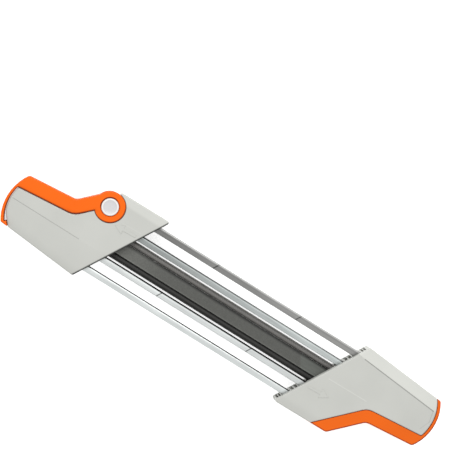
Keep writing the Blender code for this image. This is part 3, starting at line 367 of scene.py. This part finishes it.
def rail_lines(low, high, looks):
    """Darker lines in the scribed ticks, and painted highlight and shade lines by the far edge."""
    lean = (high.y - low.y) / 2 * TICK_SLANT
    lines = [((tick - lean, low.y), (tick + lean, high.y), TICK_LINE_WIDTH, TICK_TONE)
             for tick in looks["ticks"]]
    for setback, width, tone in looks["streaks"]:
        lines.append(((low.x, high.y - setback), (high.x, high.y - setback), width, tone))
    return lines


for node, looks in RAILS.items():
    low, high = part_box(node)
    rail = lofted("plated_" + node, rail_rings(low, high, looks))
    rail.data.materials.append(plated_steel("plated_steel_" + node, looks,
                                            rail_lines(low, high, looks)))
    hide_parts(node)
    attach(rail, "fixed_handle")


# Round files
# Two round chainsaw files of hardened steel, their teeth cut in a fine many-start spiral.
# Their ends turn freely in the sockets of both file holders.
# The low file is far darker than the high one as painted shade: the two are the same steel.
ROUND_FILES = {"round_file_low": (0.032, 0.032, 0.030), "round_file_high": (0.196, 0.190, 0.180)}
FILE_STARTS = 20
FILE_TOOTH = 0.00007
FILE_RING_STEP = 0.0006
FILE_LEAD = 0.016
FILE_PLAIN_END = 0.006
FILE_END_ROUND = 0.0003
SPECK_SHARE = 0.85
TOOTH_SHADES = (0.7, 1.5)
TOOTH_SPAN = (0.25, 0.75)


def cut_steel(name, colour):
    """Hardened file steel: dark, its tooth crests brighter from wear."""
    material, nodes, links, shader, place = new_finish(name)
    spiral = nodes.new("ShaderNodeTexWave")
    spiral.wave_type = "BANDS"
    spiral.bands_direction = "DIAGONAL"
    spiral.inputs["Scale"].default_value = 320
    spiral.inputs["Distortion"].default_value = 1.5
    spiral.inputs["Detail"].default_value = 2
    links.new(place, spiral.inputs["Vector"])
    specks = grain(nodes, links, place, scale=2600, detail=4, roughness=0.6)
    tone = blended(nodes, links, "FLOAT", SPECK_SHARE, spiral.outputs["Fac"], specks)
    face = two_tone(nodes, links, tone, TOOTH_SPAN, shades(colour, TOOTH_SHADES))
    links.new(face, shader.inputs["Base Color"])
    shader.inputs["Metallic"].default_value = 0.3
    shader.inputs["Roughness"].default_value = 0.55
    links.new(raised(nodes, links, tone, depth=0.00006), shader.inputs["Normal"])
    return material


def toothed_rings(low, high):
    """A round file's cross-sections, which turn with the spiral and are plain at both ends."""
    centre_y, centre_z = (low.y + high.y) / 2, (low.z + high.z) / 2
    radius = (high.z - low.z) / 2
    count = math.ceil((high.x - low.x) / FILE_RING_STEP)
    rings = []
    for index in range(count + 1):
        x = low.x + (high.x - low.x) * index / count
        from_end = min(x - low.x, high.x - x)
        cut_share = min(1, max(0, (from_end - FILE_PLAIN_END) / FILE_RING_STEP))
        end_round = FILE_END_ROUND if index in (0, count) else 0
        twist = 2 * math.pi * (x - low.x) / FILE_LEAD
        ring = []
        for corner in range(2 * FILE_STARTS):
            angle = math.pi * corner / FILE_STARTS + twist
            reach = radius - FILE_TOOTH * cut_share * (corner % 2) - end_round
            ring.append((x, centre_y + reach * math.cos(angle),
                         centre_z + reach * math.sin(angle)))
        rings.append(ring)
    return rings


for node, colour in ROUND_FILES.items():
    round_file = lofted("cut_" + node, toothed_rings(*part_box(node)))
    round_file.data.materials.append(cut_steel("file_steel_" + node, colour))
    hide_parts(node)
    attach(round_file, node)


# Flat file
# The flat depth gauge file lies between the round ones, double cut, with a plain ground end
# at the fixed handle. It sits in the flat sockets of both file holders.
PLAIN_EDGE = ((0.0624, 0.0200), (0.0860, -0.0200))
PLAIN_FADE = 0.0007
PLAIN_EDGE_LINE = (*PLAIN_EDGE, 0.0012, 0.14)
# A painted highlight on the near edge, and painted shade on the far edge and over the far half
# beside the high round file.
FILE_EDGE_HIGHLIGHT = ((-0.1, -0.0049), (0.1, -0.0049), 0.0018, 0.6)
FILE_EDGE_SHADE = ((-0.1, 0.0052), (0.1, 0.0052), 0.0014, -0.34)
FILE_SHADE = ((-0.1, 0.0026), (0.1, 0.0026), 0.0020, -0.66)
# The cut file is drawn lighter toward the lever handle.
FILE_LIGHTER_AT_LEVER = ((-0.045, -0.02), (-0.045, 0.02), 0.045, 0.4)
CUT_ANGLE = math.radians(52)
CUT_TONES = ((0.066, 0.068, 0.061), (0.150, 0.152, 0.140))
CUT_SPAN = (0.1, 0.7)
TOOTH_SHARE = 0.5
GROUND_TONES = ((0.112, 0.120, 0.108), (0.138, 0.146, 0.132))
GROUND_PATCHES = (60, 300, 300)


def file_teeth(nodes, links, place):
    """Two rows of teeth that cross, as a height."""
    rows = []
    for angle in (CUT_ANGLE, -CUT_ANGLE):
        turned = nodes.new("ShaderNodeMapping")
        turned.inputs["Rotation"].default_value = (0, 0, angle)
        links.new(place, turned.inputs["Vector"])
        wave = nodes.new("ShaderNodeTexWave")
        wave.wave_type = "BANDS"
        wave.bands_direction = "X"
        wave.wave_profile = "SAW"
        wave.inputs["Scale"].default_value = 420
        wave.inputs["Distortion"].default_value = 0.3
        links.new(turned.outputs["Vector"], wave.inputs["Vector"])
        rows.append(wave.outputs["Fac"])
    return number_step(nodes, links, "MULTIPLY", *rows)


def flat_file_steel():
    """Dark file steel with two crossing rows of teeth, and a plain lighter end."""
    material, nodes, links, shader, place = new_finish("flat_file_steel")
    teeth = file_teeth(nodes, links, place)
    specks = grain(nodes, links, place, scale=850, detail=3, roughness=0.7)
    tone = blended(nodes, links, "FLOAT", TOOTH_SHARE, teeth, specks)
    cut_face = two_tone(nodes, links, tone, CUT_SPAN, CUT_TONES)
    patches = grain(nodes, links, stretched(nodes, links, place, GROUND_PATCHES),
                    scale=1, detail=4)
    plain_face = two_tone(nodes, links, patches, NOISE_SPAN, GROUND_TONES)
    plain = left_of_line(nodes, links, place, *PLAIN_EDGE, PLAIN_FADE)
    face = blended(nodes, links, "RGBA", plain, cut_face, plain_face)
    colour_out = marked(nodes, links, place, face,
                        (PLAIN_EDGE_LINE, FILE_EDGE_HIGHLIGHT, FILE_EDGE_SHADE),
                        (FILE_SHADE, FILE_LIGHTER_AT_LEVER))[0]
    links.new(colour_out, shader.inputs["Base Color"])
    shader.inputs["Metallic"].default_value = 0.3
    shader.inputs["Roughness"].default_value = 0.5
    links.new(raised(nodes, links, tone, depth=0.00008), shader.inputs["Normal"])
    return material


def dress(node, material):
    """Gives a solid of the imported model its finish."""
    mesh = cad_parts[node].data
    mesh.materials.clear()
    mesh.materials.append(material)


dress("flat_file", flat_file_steel())


# Fixed handle shells
# Two halves moulded in light grey nylon, screwed together from below, with a fine spark
# eroded grain on all outer faces, and their rounded edges darker as painted shade.
SHELL_GREY = (0.59, 0.597, 0.56)
SHELL_EDGE_GREY = (0.52, 0.525, 0.49)
CLOUD_SHADES = (0.96, 1.03)
SHINE_SPREAD = (-0.05, 0.08)
MARK_DEPTH = 0.0006
EDGE_REACH = 0.0004
EDGE_TURN = (0.99, 0.85)
EDGE_SHARE = 0.5
EDGE_GAIN = 1.12
EDGE_LIFT = 0.02
# Painted shade on rims, darkest where they face away from the lamp.
RIM_TURN = (0.97, 0.6)
RIM_DARK = 0.30
RIM_SIDE = (0.8, -0.6, 0)
RIM_SIDE_TURN = (0.03, 0.4)
RIM_SIDE_DARK = 0.95
RIM_FOOT = (0.02, 0.25)

# Lines: painted shade in the crease with its bends round the end, and a painted highlight
# beside the notch. Strips: painted light on the slope beyond the crease, and painted shade on
# the near side.
FIXED_LINES = (((0.1165, 0.0278), (0.1850, 0.0216), 0.0012, -0.42),
               ((0.1850, 0.0216), (0.1868, 0.0122), 0.0009, -0.20),
               ((0.1868, 0.0122), (0.1832, 0.0040), 0.0009, -0.12),
               ((0.1001, -0.0004), (0.1350, 0.0001), 0.0011, 0.15))
FIXED_STRIPS = (((0.1146, 0.0280), (0.1856, 0.0216), 0.0008, 0.17),
                ((0.0800, -0.0290), (0.0700, -0.0290), 0.0060, -0.06))
FIXED_ARROW = ((0.0892, -0.0142), (0.1083, -0.0132))
ARROW_SHAFT_SHARE = 0.58
ARROW_SHAFT = 0.0026
ARROW_HEAD = 0.0088
ARROW_HEIGHT = 0.00030
ARROW_SLOPE = 0.00030


def rim_shade(nodes, links, face, rim_colour):
    """The colour with painted shade on its rims, most of all where they turn away from the lamp.
    """
    normal = nodes.new("ShaderNodeNewGeometry").outputs["Normal"]
    upward = facing(nodes, links, "Z")
    turned = ramped(nodes, links, upward, RIM_TURN, high=RIM_DARK)
    sideways = vector_step(nodes, links, "DOT_PRODUCT", normal, RIM_SIDE, "Value")
    away = ramped(nodes, links, sideways, RIM_SIDE_TURN, high=RIM_SIDE_DARK)
    above_foot = ramped(nodes, links, upward, RIM_FOOT)
    shaded = number_step(nodes, links, "MULTIPLY", away, above_foot)
    rim = number_step(nodes, links, "MAXIMUM", turned, shaded)
    return blended(nodes, links, "RGBA", rim, face, (*rim_colour, 1))


def moulded(name, colour, edge_colour=None, grain_depth=0.00004, shine=0.42, gloss=0.5,
            lines=(), strips=(), rim_colour=None):
    """Injection moulded plastic: fine grain, faint cloudy tone, and its rims in their own tone,
    which is painted shade where the edge colour is darker.

    Lines are thin marks as (start, end, width, tone), and strips lie to the left of a line.
    """
    material, nodes, links, shader, place = new_finish(name)
    edge_colour = edge_colour or tuple(min(1, value * EDGE_GAIN + EDGE_LIFT) for value in colour)
    clouds = grain(nodes, links, place, scale=22, detail=3)
    fine = grain(nodes, links, place, scale=1500, detail=3, roughness=0.6)
    face = two_tone(nodes, links, clouds, NOISE_SPAN, shades(colour, CLOUD_SHADES))
    # The edge share blends rims toward the edge colour: painted shade where that colour is darker,
    # as on the handles, the grip band and the lever. The default edge colour is lighter.
    edge = nodes.new("ShaderNodeBevel")
    edge.samples = 6
    edge.inputs["Radius"].default_value = EDGE_REACH
    normal = nodes.new("ShaderNodeNewGeometry").outputs["Normal"]
    flatness = vector_step(nodes, links, "DOT_PRODUCT", edge.outputs["Normal"], normal, "Value")
    edge_share = ramped(nodes, links, flatness, EDGE_TURN, high=EDGE_SHARE)
    face = blended(nodes, links, "RGBA", edge_share, face, (*edge_colour, 1))
    colour_out, strength = marked(nodes, links, place, face, lines, strips)
    if rim_colour:
        colour_out = rim_shade(nodes, links, colour_out, rim_colour)
    links.new(colour_out, shader.inputs["Base Color"])
    shader.inputs["Specular IOR Level"].default_value = gloss
    smoother, rougher = (shine + step for step in SHINE_SPREAD)
    links.new(ramped(nodes, links, fine, NOISE_SPAN, smoother, rougher),
              shader.inputs["Roughness"])
    relief = raised(nodes, links, fine, grain_depth, below=edge.outputs["Normal"])
    if strength:
        relief = raised(nodes, links, strength, MARK_DEPTH, below=relief)
    links.new(relief, shader.inputs["Normal"])
    return material


fixed_grey = moulded("fixed_handle_grey", SHELL_GREY, SHELL_EDGE_GREY, gloss=0.3,
                     lines=FIXED_LINES, strips=FIXED_STRIPS)
dress("fixed_handle_lower_shell", fixed_grey)
dress("fixed_handle_upper_shell", fixed_grey)


def inset(points, distance):
    """The outline with each edge moved inward, for points that run anticlockwise."""
    moved = []
    for index, point in enumerate(points):
        back = (point - points[index - 1]).normalized()
        ahead = (points[(index + 1) % len(points)] - point).normalized()
        inward = Vector((-back.y - ahead.y, back.x + ahead.x))
        moved.append(point + inward * (distance / (1 + back.dot(ahead))))
    return moved


def raised_arrow(name, tail, tip, body, material):
    """A low moulded arrow on the upper face, its sides sloped for the mould."""
    way = Vector(tip) - Vector(tail)
    across = Vector((-way.y, way.x)).normalized()
    neck = Vector(tail) + way * ARROW_SHAFT_SHARE
    shaft, wing = across * ARROW_SHAFT / 2, across * ARROW_HEAD / 2
    outline = [Vector(tail) - shaft, neck - shaft, neck - wing, Vector(tip), neck + wing,
               neck + shaft, Vector(tail) + shaft]
    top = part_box("fixed_handle_upper_shell")[1].z
    rings = [[(*point, top - ARROW_HEIGHT) for point in outline],
             [(*point, top + ARROW_HEIGHT) for point in inset(outline, ARROW_SLOPE)]]
    arrow = lofted(name, rings)
    arrow.data.materials.append(material)
    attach(arrow, body)


raised_arrow("fixed_handle_arrow", *FIXED_ARROW, "fixed_handle", fixed_grey)


# Grip band
# One orange moulding that wraps the notch and the rounded end of the fixed handle,
# clipped over the shells' edge before they are screwed together.
BAND_ORANGE = (0.88, 0.140, 0.004)
# Painted shade: the edge colour on the rounded edges and the rim colour on the rims.
ORANGE_EDGE = (0.55, 0.07, 0.01)
ORANGE_RIM = (0.30, 0.030, 0.004)

orange_grip = moulded("orange_grip", BAND_ORANGE, ORANGE_EDGE, shine=0.40, gloss=0.2,
                      rim_colour=ORANGE_RIM)
dress("fixed_handle_grip_band", orange_grip)


# File holders
# A dark nylon block in each handle, held between the shells, with two round sockets and a
# flat one for the file ends.
HOLDER_GREY = (0.025, 0.025, 0.026)

dark_block = moulded("dark_block", HOLDER_GREY)
dress("fixed_handle_file_holder", dark_block)
dress("lever_handle_file_holder", dark_block)


# Lever handle shells
# The same two moulded halves, shaped round the lever's pivot, with a sloped strip above.

# Lines: painted shade in the crease on the near side, the faint line by the arrow, and a
# painted shadow along the front edge. Strips: painted shade on the slope on the near side, and
# painted light on the far side.
LEVER_HANDLE_LINES = (((-0.1868, -0.0109), (-0.1264, -0.0111), 0.0010, -0.28),
                      ((-0.1031, 0.0175), (-0.0871, 0.0182), 0.0010, 0.06),
                      ((-0.1158, -0.0377), (-0.0720, 0.0381), 0.0024, -0.97))
LEVER_HANDLE_STRIPS = (((-0.1155, -0.0290), (-0.1865, -0.0225), 0.0090, -0.07),
                       ((-0.1100, 0.0290), (-0.0700, 0.0290), 0.0030, 0.12))
LEVER_HANDLE_ARROW = ((-0.0892, 0.0142), (-0.1083, 0.0132))

lever_grey = moulded("lever_handle_grey", SHELL_GREY, SHELL_EDGE_GREY, gloss=0.3,
                     lines=LEVER_HANDLE_LINES, strips=LEVER_HANDLE_STRIPS)
dress("lever_handle_lower_shell", lever_grey)
dress("lever_handle_upper_shell", lever_grey)
raised_arrow("lever_handle_arrow", *LEVER_HANDLE_ARROW, "lever_handle", lever_grey)


# Clamp parts and screws
# The cam shaft, the clamp bar that it pushes, and the shell screws, three to a handle, all
# of steel with a thin zinc plate.
ZINC_TONES = ((0.42, 0.42, 0.44), (0.60, 0.60, 0.60))
ZINC_ROUGHNESS = (0.3, 0.45)


def zinc_plate():
    """Bright zinc on steel, in faint crystal patches."""
    material, nodes, links, shader, place = new_finish("zinc_plate")
    patches = grain(nodes, links, place, scale=500, detail=4)
    links.new(two_tone(nodes, links, patches, NOISE_SPAN, ZINC_TONES),
              shader.inputs["Base Color"])
    shader.inputs["Metallic"].default_value = 1
    links.new(ramped(nodes, links, patches, NOISE_SPAN, *ZINC_ROUGHNESS),
              shader.inputs["Roughness"])
    links.new(raised(nodes, links, patches, depth=0.00002), shader.inputs["Normal"])
    return material


zinc = zinc_plate()
dress("cam_shaft", zinc)
dress("clamp_bar", zinc)
for handle in ("fixed_handle", "lever_handle"):
    for number in (1, 2, 3):
        dress("{}_screw_{}".format(handle, number), zinc)


# Lever
# An orange moulding that swings on the cam shaft: ring, arm, and a thin strap that ends in
# the hook which snaps on the far corner of the handle. Its rims are rounded in the mould.
LEVER_ORANGE = (1.0, 0.150, 0.001)
LEVER_RIM_RISE = 0.0008
LEVER_RIM_WIDTH = 0.0010
LEVER_RIM_STEPS = 5
HOOK_REACH = 0.0120
HOOK_TIP_SHARE = 0.2
CAP_COUNTERSINK = 0.0008
SAME_HEIGHT = 0.000002
HEIGHT_DIGITS = 5
FLAT_FACE = 0.9999

# The soft shade along the arm, in three stretches.
ARM_LINES = (((-0.1860, -0.0016), (-0.1448, 0.0022), 0.0075, -0.10),
             ((-0.1448, 0.0022), (-0.1386, 0.0042), 0.0075, -0.10),
             ((-0.1386, 0.0042), (-0.1270, 0.0150), 0.0060, -0.10))


def open_loops(shape):
    """The closed rows of corners along a shape's open edges."""
    left = {edge for edge in shape.edges if len(edge.link_faces) == 1}
    loops = []
    while left:
        edge = min(left, key=lambda one: one.index)
        left.remove(edge)
        loop = [edge.verts[0], edge.verts[1]]
        while loop[-1] is not loop[0]:
            edge = next(one for one in loop[-1].link_edges if one in left)
            left.remove(edge)
            loop.append(edge.other_vert(loop[-1]))
        loops.append(loop[:-1])
    return loops


def anticlockwise(loop):
    """The row of corners, turned round if it runs clockwise as seen from above."""
    area = sum(here.co.x * ahead.co.y - ahead.co.x * here.co.y
               for here, ahead in zip(loop, loop[1:] + loop[:1]))
    return loop if area > 0 else loop[::-1]


def bridge(shape, inner, outer):
    """Faces between two rows of corners; gives back the edges of the second row."""
    for index in range(len(inner)):
        shape.faces.new((inner[index - 1], inner[index], outer[index], outer[index - 1]))
    return [shape.edges.get((outer[index - 1], outer[index])) for index in range(len(outer))]


def rim_ring(shape, loop, width, height):
    """A row of corners inside the outline, closer to it toward the thin tip of the hook."""
    outline = [corner.co.xy for corner in loop]
    tip = min(outline, key=lambda point: point.y)
    ring = []
    for point, moved in zip(outline, inset(outline, width)):
        share = min(1, HOOK_TIP_SHARE + (1 - HOOK_TIP_SHARE) * (point - tip).length / HOOK_REACH)
        ring.append(shape.verts.new((*point.lerp(moved, share), height)))
    return ring


def round_rim(shape, loop, start, end):
    """A rounded rim from the outline's row of corners to the flat face at the end height."""
    ring = loop
    for step in range(1, LEVER_RIM_STEPS + 1):
        turn = math.pi / 2 * step / LEVER_RIM_STEPS
        new_ring = rim_ring(shape, loop, LEVER_RIM_WIDTH * (1 - math.cos(turn)),
                            start + (end - start) * math.sin(turn))
        edges = bridge(shape, ring, new_ring)
        ring = new_ring
    return edges


def lever_piece():
    """The lever's walls and hollows as they are, with rounder rims and flat faces made anew."""
    low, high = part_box("lever")
    rim_top, rim_low = high.z - LEVER_RIM_RISE, low.z + LEVER_RIM_RISE
    shape = bmesh.new()
    shape.from_mesh(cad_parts["lever"].data)
    bmesh.ops.remove_doubles(shape, verts=shape.verts, dist=SAME_HEIGHT)
    rims = [face for face in shape.faces
            if all(corner.co.z > rim_top - SAME_HEIGHT for corner in face.verts)
            or all(corner.co.z < rim_low + SAME_HEIGHT for corner in face.verts)]
    bmesh.ops.delete(shape, geom=rims, context="FACES")
    shape.edges.index_update()
    loops = {round(loop[0].co.z, HEIGHT_DIGITS): anticlockwise(loop)
             for loop in open_loops(shape)}
    outer_top, outer_low, cap_hole, shaft_hole = (
        loops[round(height, HEIGHT_DIGITS)] for height in (rim_top, rim_low, high.z, low.z))
    upper = round_rim(shape, outer_top, rim_top, high.z)
    lower = round_rim(shape, outer_low, rim_low, low.z)
    middle = sum((corner.co for corner in cap_hole), Vector()) / len(cap_hole)
    sunk = []
    for corner in cap_hole:
        outward = (corner.co - middle).normalized() * CAP_COUNTERSINK
        sunk.append(shape.verts.new(corner.co + outward))
        corner.co.z -= CAP_COUNTERSINK
    upper += bridge(shape, cap_hole, sunk)
    lower += [shape.edges.get((shaft_hole[index - 1], shaft_hole[index]))
              for index in range(len(shaft_hole))]
    for face in shape.faces:
        face.smooth = True
    for edges in (upper, lower):
        bmesh.ops.triangle_fill(shape, edges=edges, use_beauty=True)
    bmesh.ops.recalc_face_normals(shape, faces=shape.faces)
    mesh = bpy.data.meshes.new("orange_lever")
    shape.to_mesh(mesh)
    shape.free()
    mesh.attributes.remove(mesh.attributes["custom_normal"])
    mesh.set_sharp_from_angle(angle=SHARP_TURN)
    for face in mesh.polygons:
        face.use_smooth = abs(face.normal.z) < FLAT_FACE
    piece = bpy.data.objects.new("orange_lever", mesh)
    bpy.context.scene.collection.objects.link(piece)
    return piece


lever = lever_piece()
# Its edge and rim colours are painted shade, as on the grip band.
lever.data.materials.append(moulded("lever_orange", LEVER_ORANGE, ORANGE_EDGE, shine=0.40,
                                    gloss=0.2, lines=ARM_LINES, rim_colour=ORANGE_RIM))
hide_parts("lever")
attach(lever, "lever")


# Pivot cap
# A white plastic button pressed into the ring over the head of the cam shaft, with a raised
# rim round a shallow dish.
CAP_PROFILE = ((0.45, -0.00052), (0.70, -0.00040), (0.80, -0.00008), (0.86, 0.0),
               (0.93, -0.00010), (0.985, -0.00035), (1.0, -0.00080))
CAP_TURNS = 64
CAP_DISH_SHARE = 0.75
CAP_WHITE = (0.90, 0.88, 0.86)
DISH_WHITE = (0.70, 0.69, 0.70)
CAP_GRAIN = 0.00001


def cap_piece():
    """The button, turned from its profile, with the dish in its own finish."""
    low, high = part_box("pivot_cap")
    middle, radius = (low + high) / 2, (high.x - low.x) / 2
    profile = [(share * radius, high.z + drop) for share, drop in CAP_PROFILE]
    profile += [(radius, low.z + CAP_COUNTERSINK), (radius - CAP_COUNTERSINK, low.z)]
    rings = []
    for reach, height in profile:
        ring = []
        for index in range(CAP_TURNS):
            turn = 2 * math.pi * index / CAP_TURNS
            ring.append((middle.x + reach * math.cos(turn), middle.y + reach * math.sin(turn),
                         height))
        rings.append(ring)
    cap = lofted("white_pivot_cap", rings)
    for face in cap.data.polygons:
        reach = (face.center.xy - middle.xy).length
        face.material_index = int(reach < CAP_DISH_SHARE * radius and face.center.z > middle.z)
    return cap


cap = cap_piece()
cap.data.materials.append(moulded("white_cap", CAP_WHITE, grain_depth=CAP_GRAIN, shine=0.3))
cap.data.materials.append(moulded("cap_dish", DISH_WHITE, grain_depth=CAP_GRAIN, shine=0.25))
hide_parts("pivot_cap")
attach(cap, "lever")


# Floor and light
# A pale floor under the handles, a soft sky of even light and one broad lamp to shape it.
FLOOR_Z = -0.0005
FLOOR_SIZE = 8
FLOOR_PALE = 0.93
FLOOR_LIFT = 0.62
SKY_LIGHT = 0.75
LAMP_PLACE = (-0.5, 0.9, 1.5)
LAMP_SIZE = 1.2
LAMP_POWER = 12

floor_mesh = bpy.data.meshes.new("floor")
corners = [(x * FLOOR_SIZE, y * FLOOR_SIZE, FLOOR_Z)
           for x, y in ((-1, -1), (1, -1), (1, 1), (-1, 1))]
floor_mesh.from_pydata(corners, [], [(0, 1, 2, 3)])
floor = bpy.data.objects.new("floor", floor_mesh)
bpy.context.scene.collection.objects.link(floor)

floor_paper = bpy.data.materials.new("floor_paper")
floor_paper.use_nodes = True
nodes = floor_paper.node_tree.nodes
links = floor_paper.node_tree.links
shader = nodes["Principled BSDF"]
shader.inputs["Base Color"].default_value = (FLOOR_PALE, FLOOR_PALE, FLOOR_PALE, 1)
shader.inputs["Roughness"].default_value = 0.9
shader.inputs["Specular IOR Level"].default_value = 0.1
shader.inputs["Emission Color"].default_value = (1, 1, 1, 1)
rays = nodes.new("ShaderNodeLightPath")
seen = number_step(nodes, links, "MAXIMUM", rays.outputs["Is Camera Ray"],
                   rays.outputs["Is Glossy Ray"])
links.new(number_step(nodes, links, "MULTIPLY", seen, FLOOR_LIFT),
          shader.inputs["Emission Strength"])
floor_mesh.materials.append(floor_paper)

world = bpy.data.worlds.new("sky")
bpy.context.scene.world = world
world.use_nodes = True
background = world.node_tree.nodes["Background"]
background.inputs["Color"].default_value = (1, 1, 1, 1)
background.inputs["Strength"].default_value = SKY_LIGHT

lamp = bpy.data.lights.new("broad_lamp", "AREA")
lamp.shape = "SQUARE"
lamp.size = LAMP_SIZE
lamp.energy = LAMP_POWER
lamp_holder = bpy.data.objects.new("broad_lamp", lamp)
bpy.context.scene.collection.objects.link(lamp_holder)
lamp_holder.location = LAMP_PLACE
lamp_holder.rotation_euler = (-Vector(LAMP_PLACE)).to_track_quat("-Z", "Y").to_euler()


# Camera
# It stands nearly straight above the middle of the table, and the guide lies in the lower half.
CAMERA_PLACE = Vector((-0.17431, 0.04715, 1.75899))
CAMERA_AIM = Vector((-0.02390, 0.05665, 0.026))
CAMERA_ROLL = math.radians(32.169)
FRAME_WIDTH = 0.36996

camera = bpy.data.cameras.new("camera")
camera.sensor_width = 36
camera.lens = camera.sensor_width * (CAMERA_PLACE - CAMERA_AIM).length / FRAME_WIDTH
camera.clip_end = 20
viewer = bpy.data.objects.new("camera", camera)
bpy.context.scene.collection.objects.link(viewer)
back = (CAMERA_PLACE - CAMERA_AIM).normalized()
right = Vector((-math.sin(CAMERA_ROLL), math.cos(CAMERA_ROLL), 0)).cross(back).normalized()
turn = Matrix((right, back.cross(right), back)).transposed()
viewer.matrix_world = Matrix.Translation(CAMERA_PLACE) @ turn.to_4x4()
bpy.context.scene.camera = viewer
bpy.context.scene.view_settings.view_transform = "Standard"
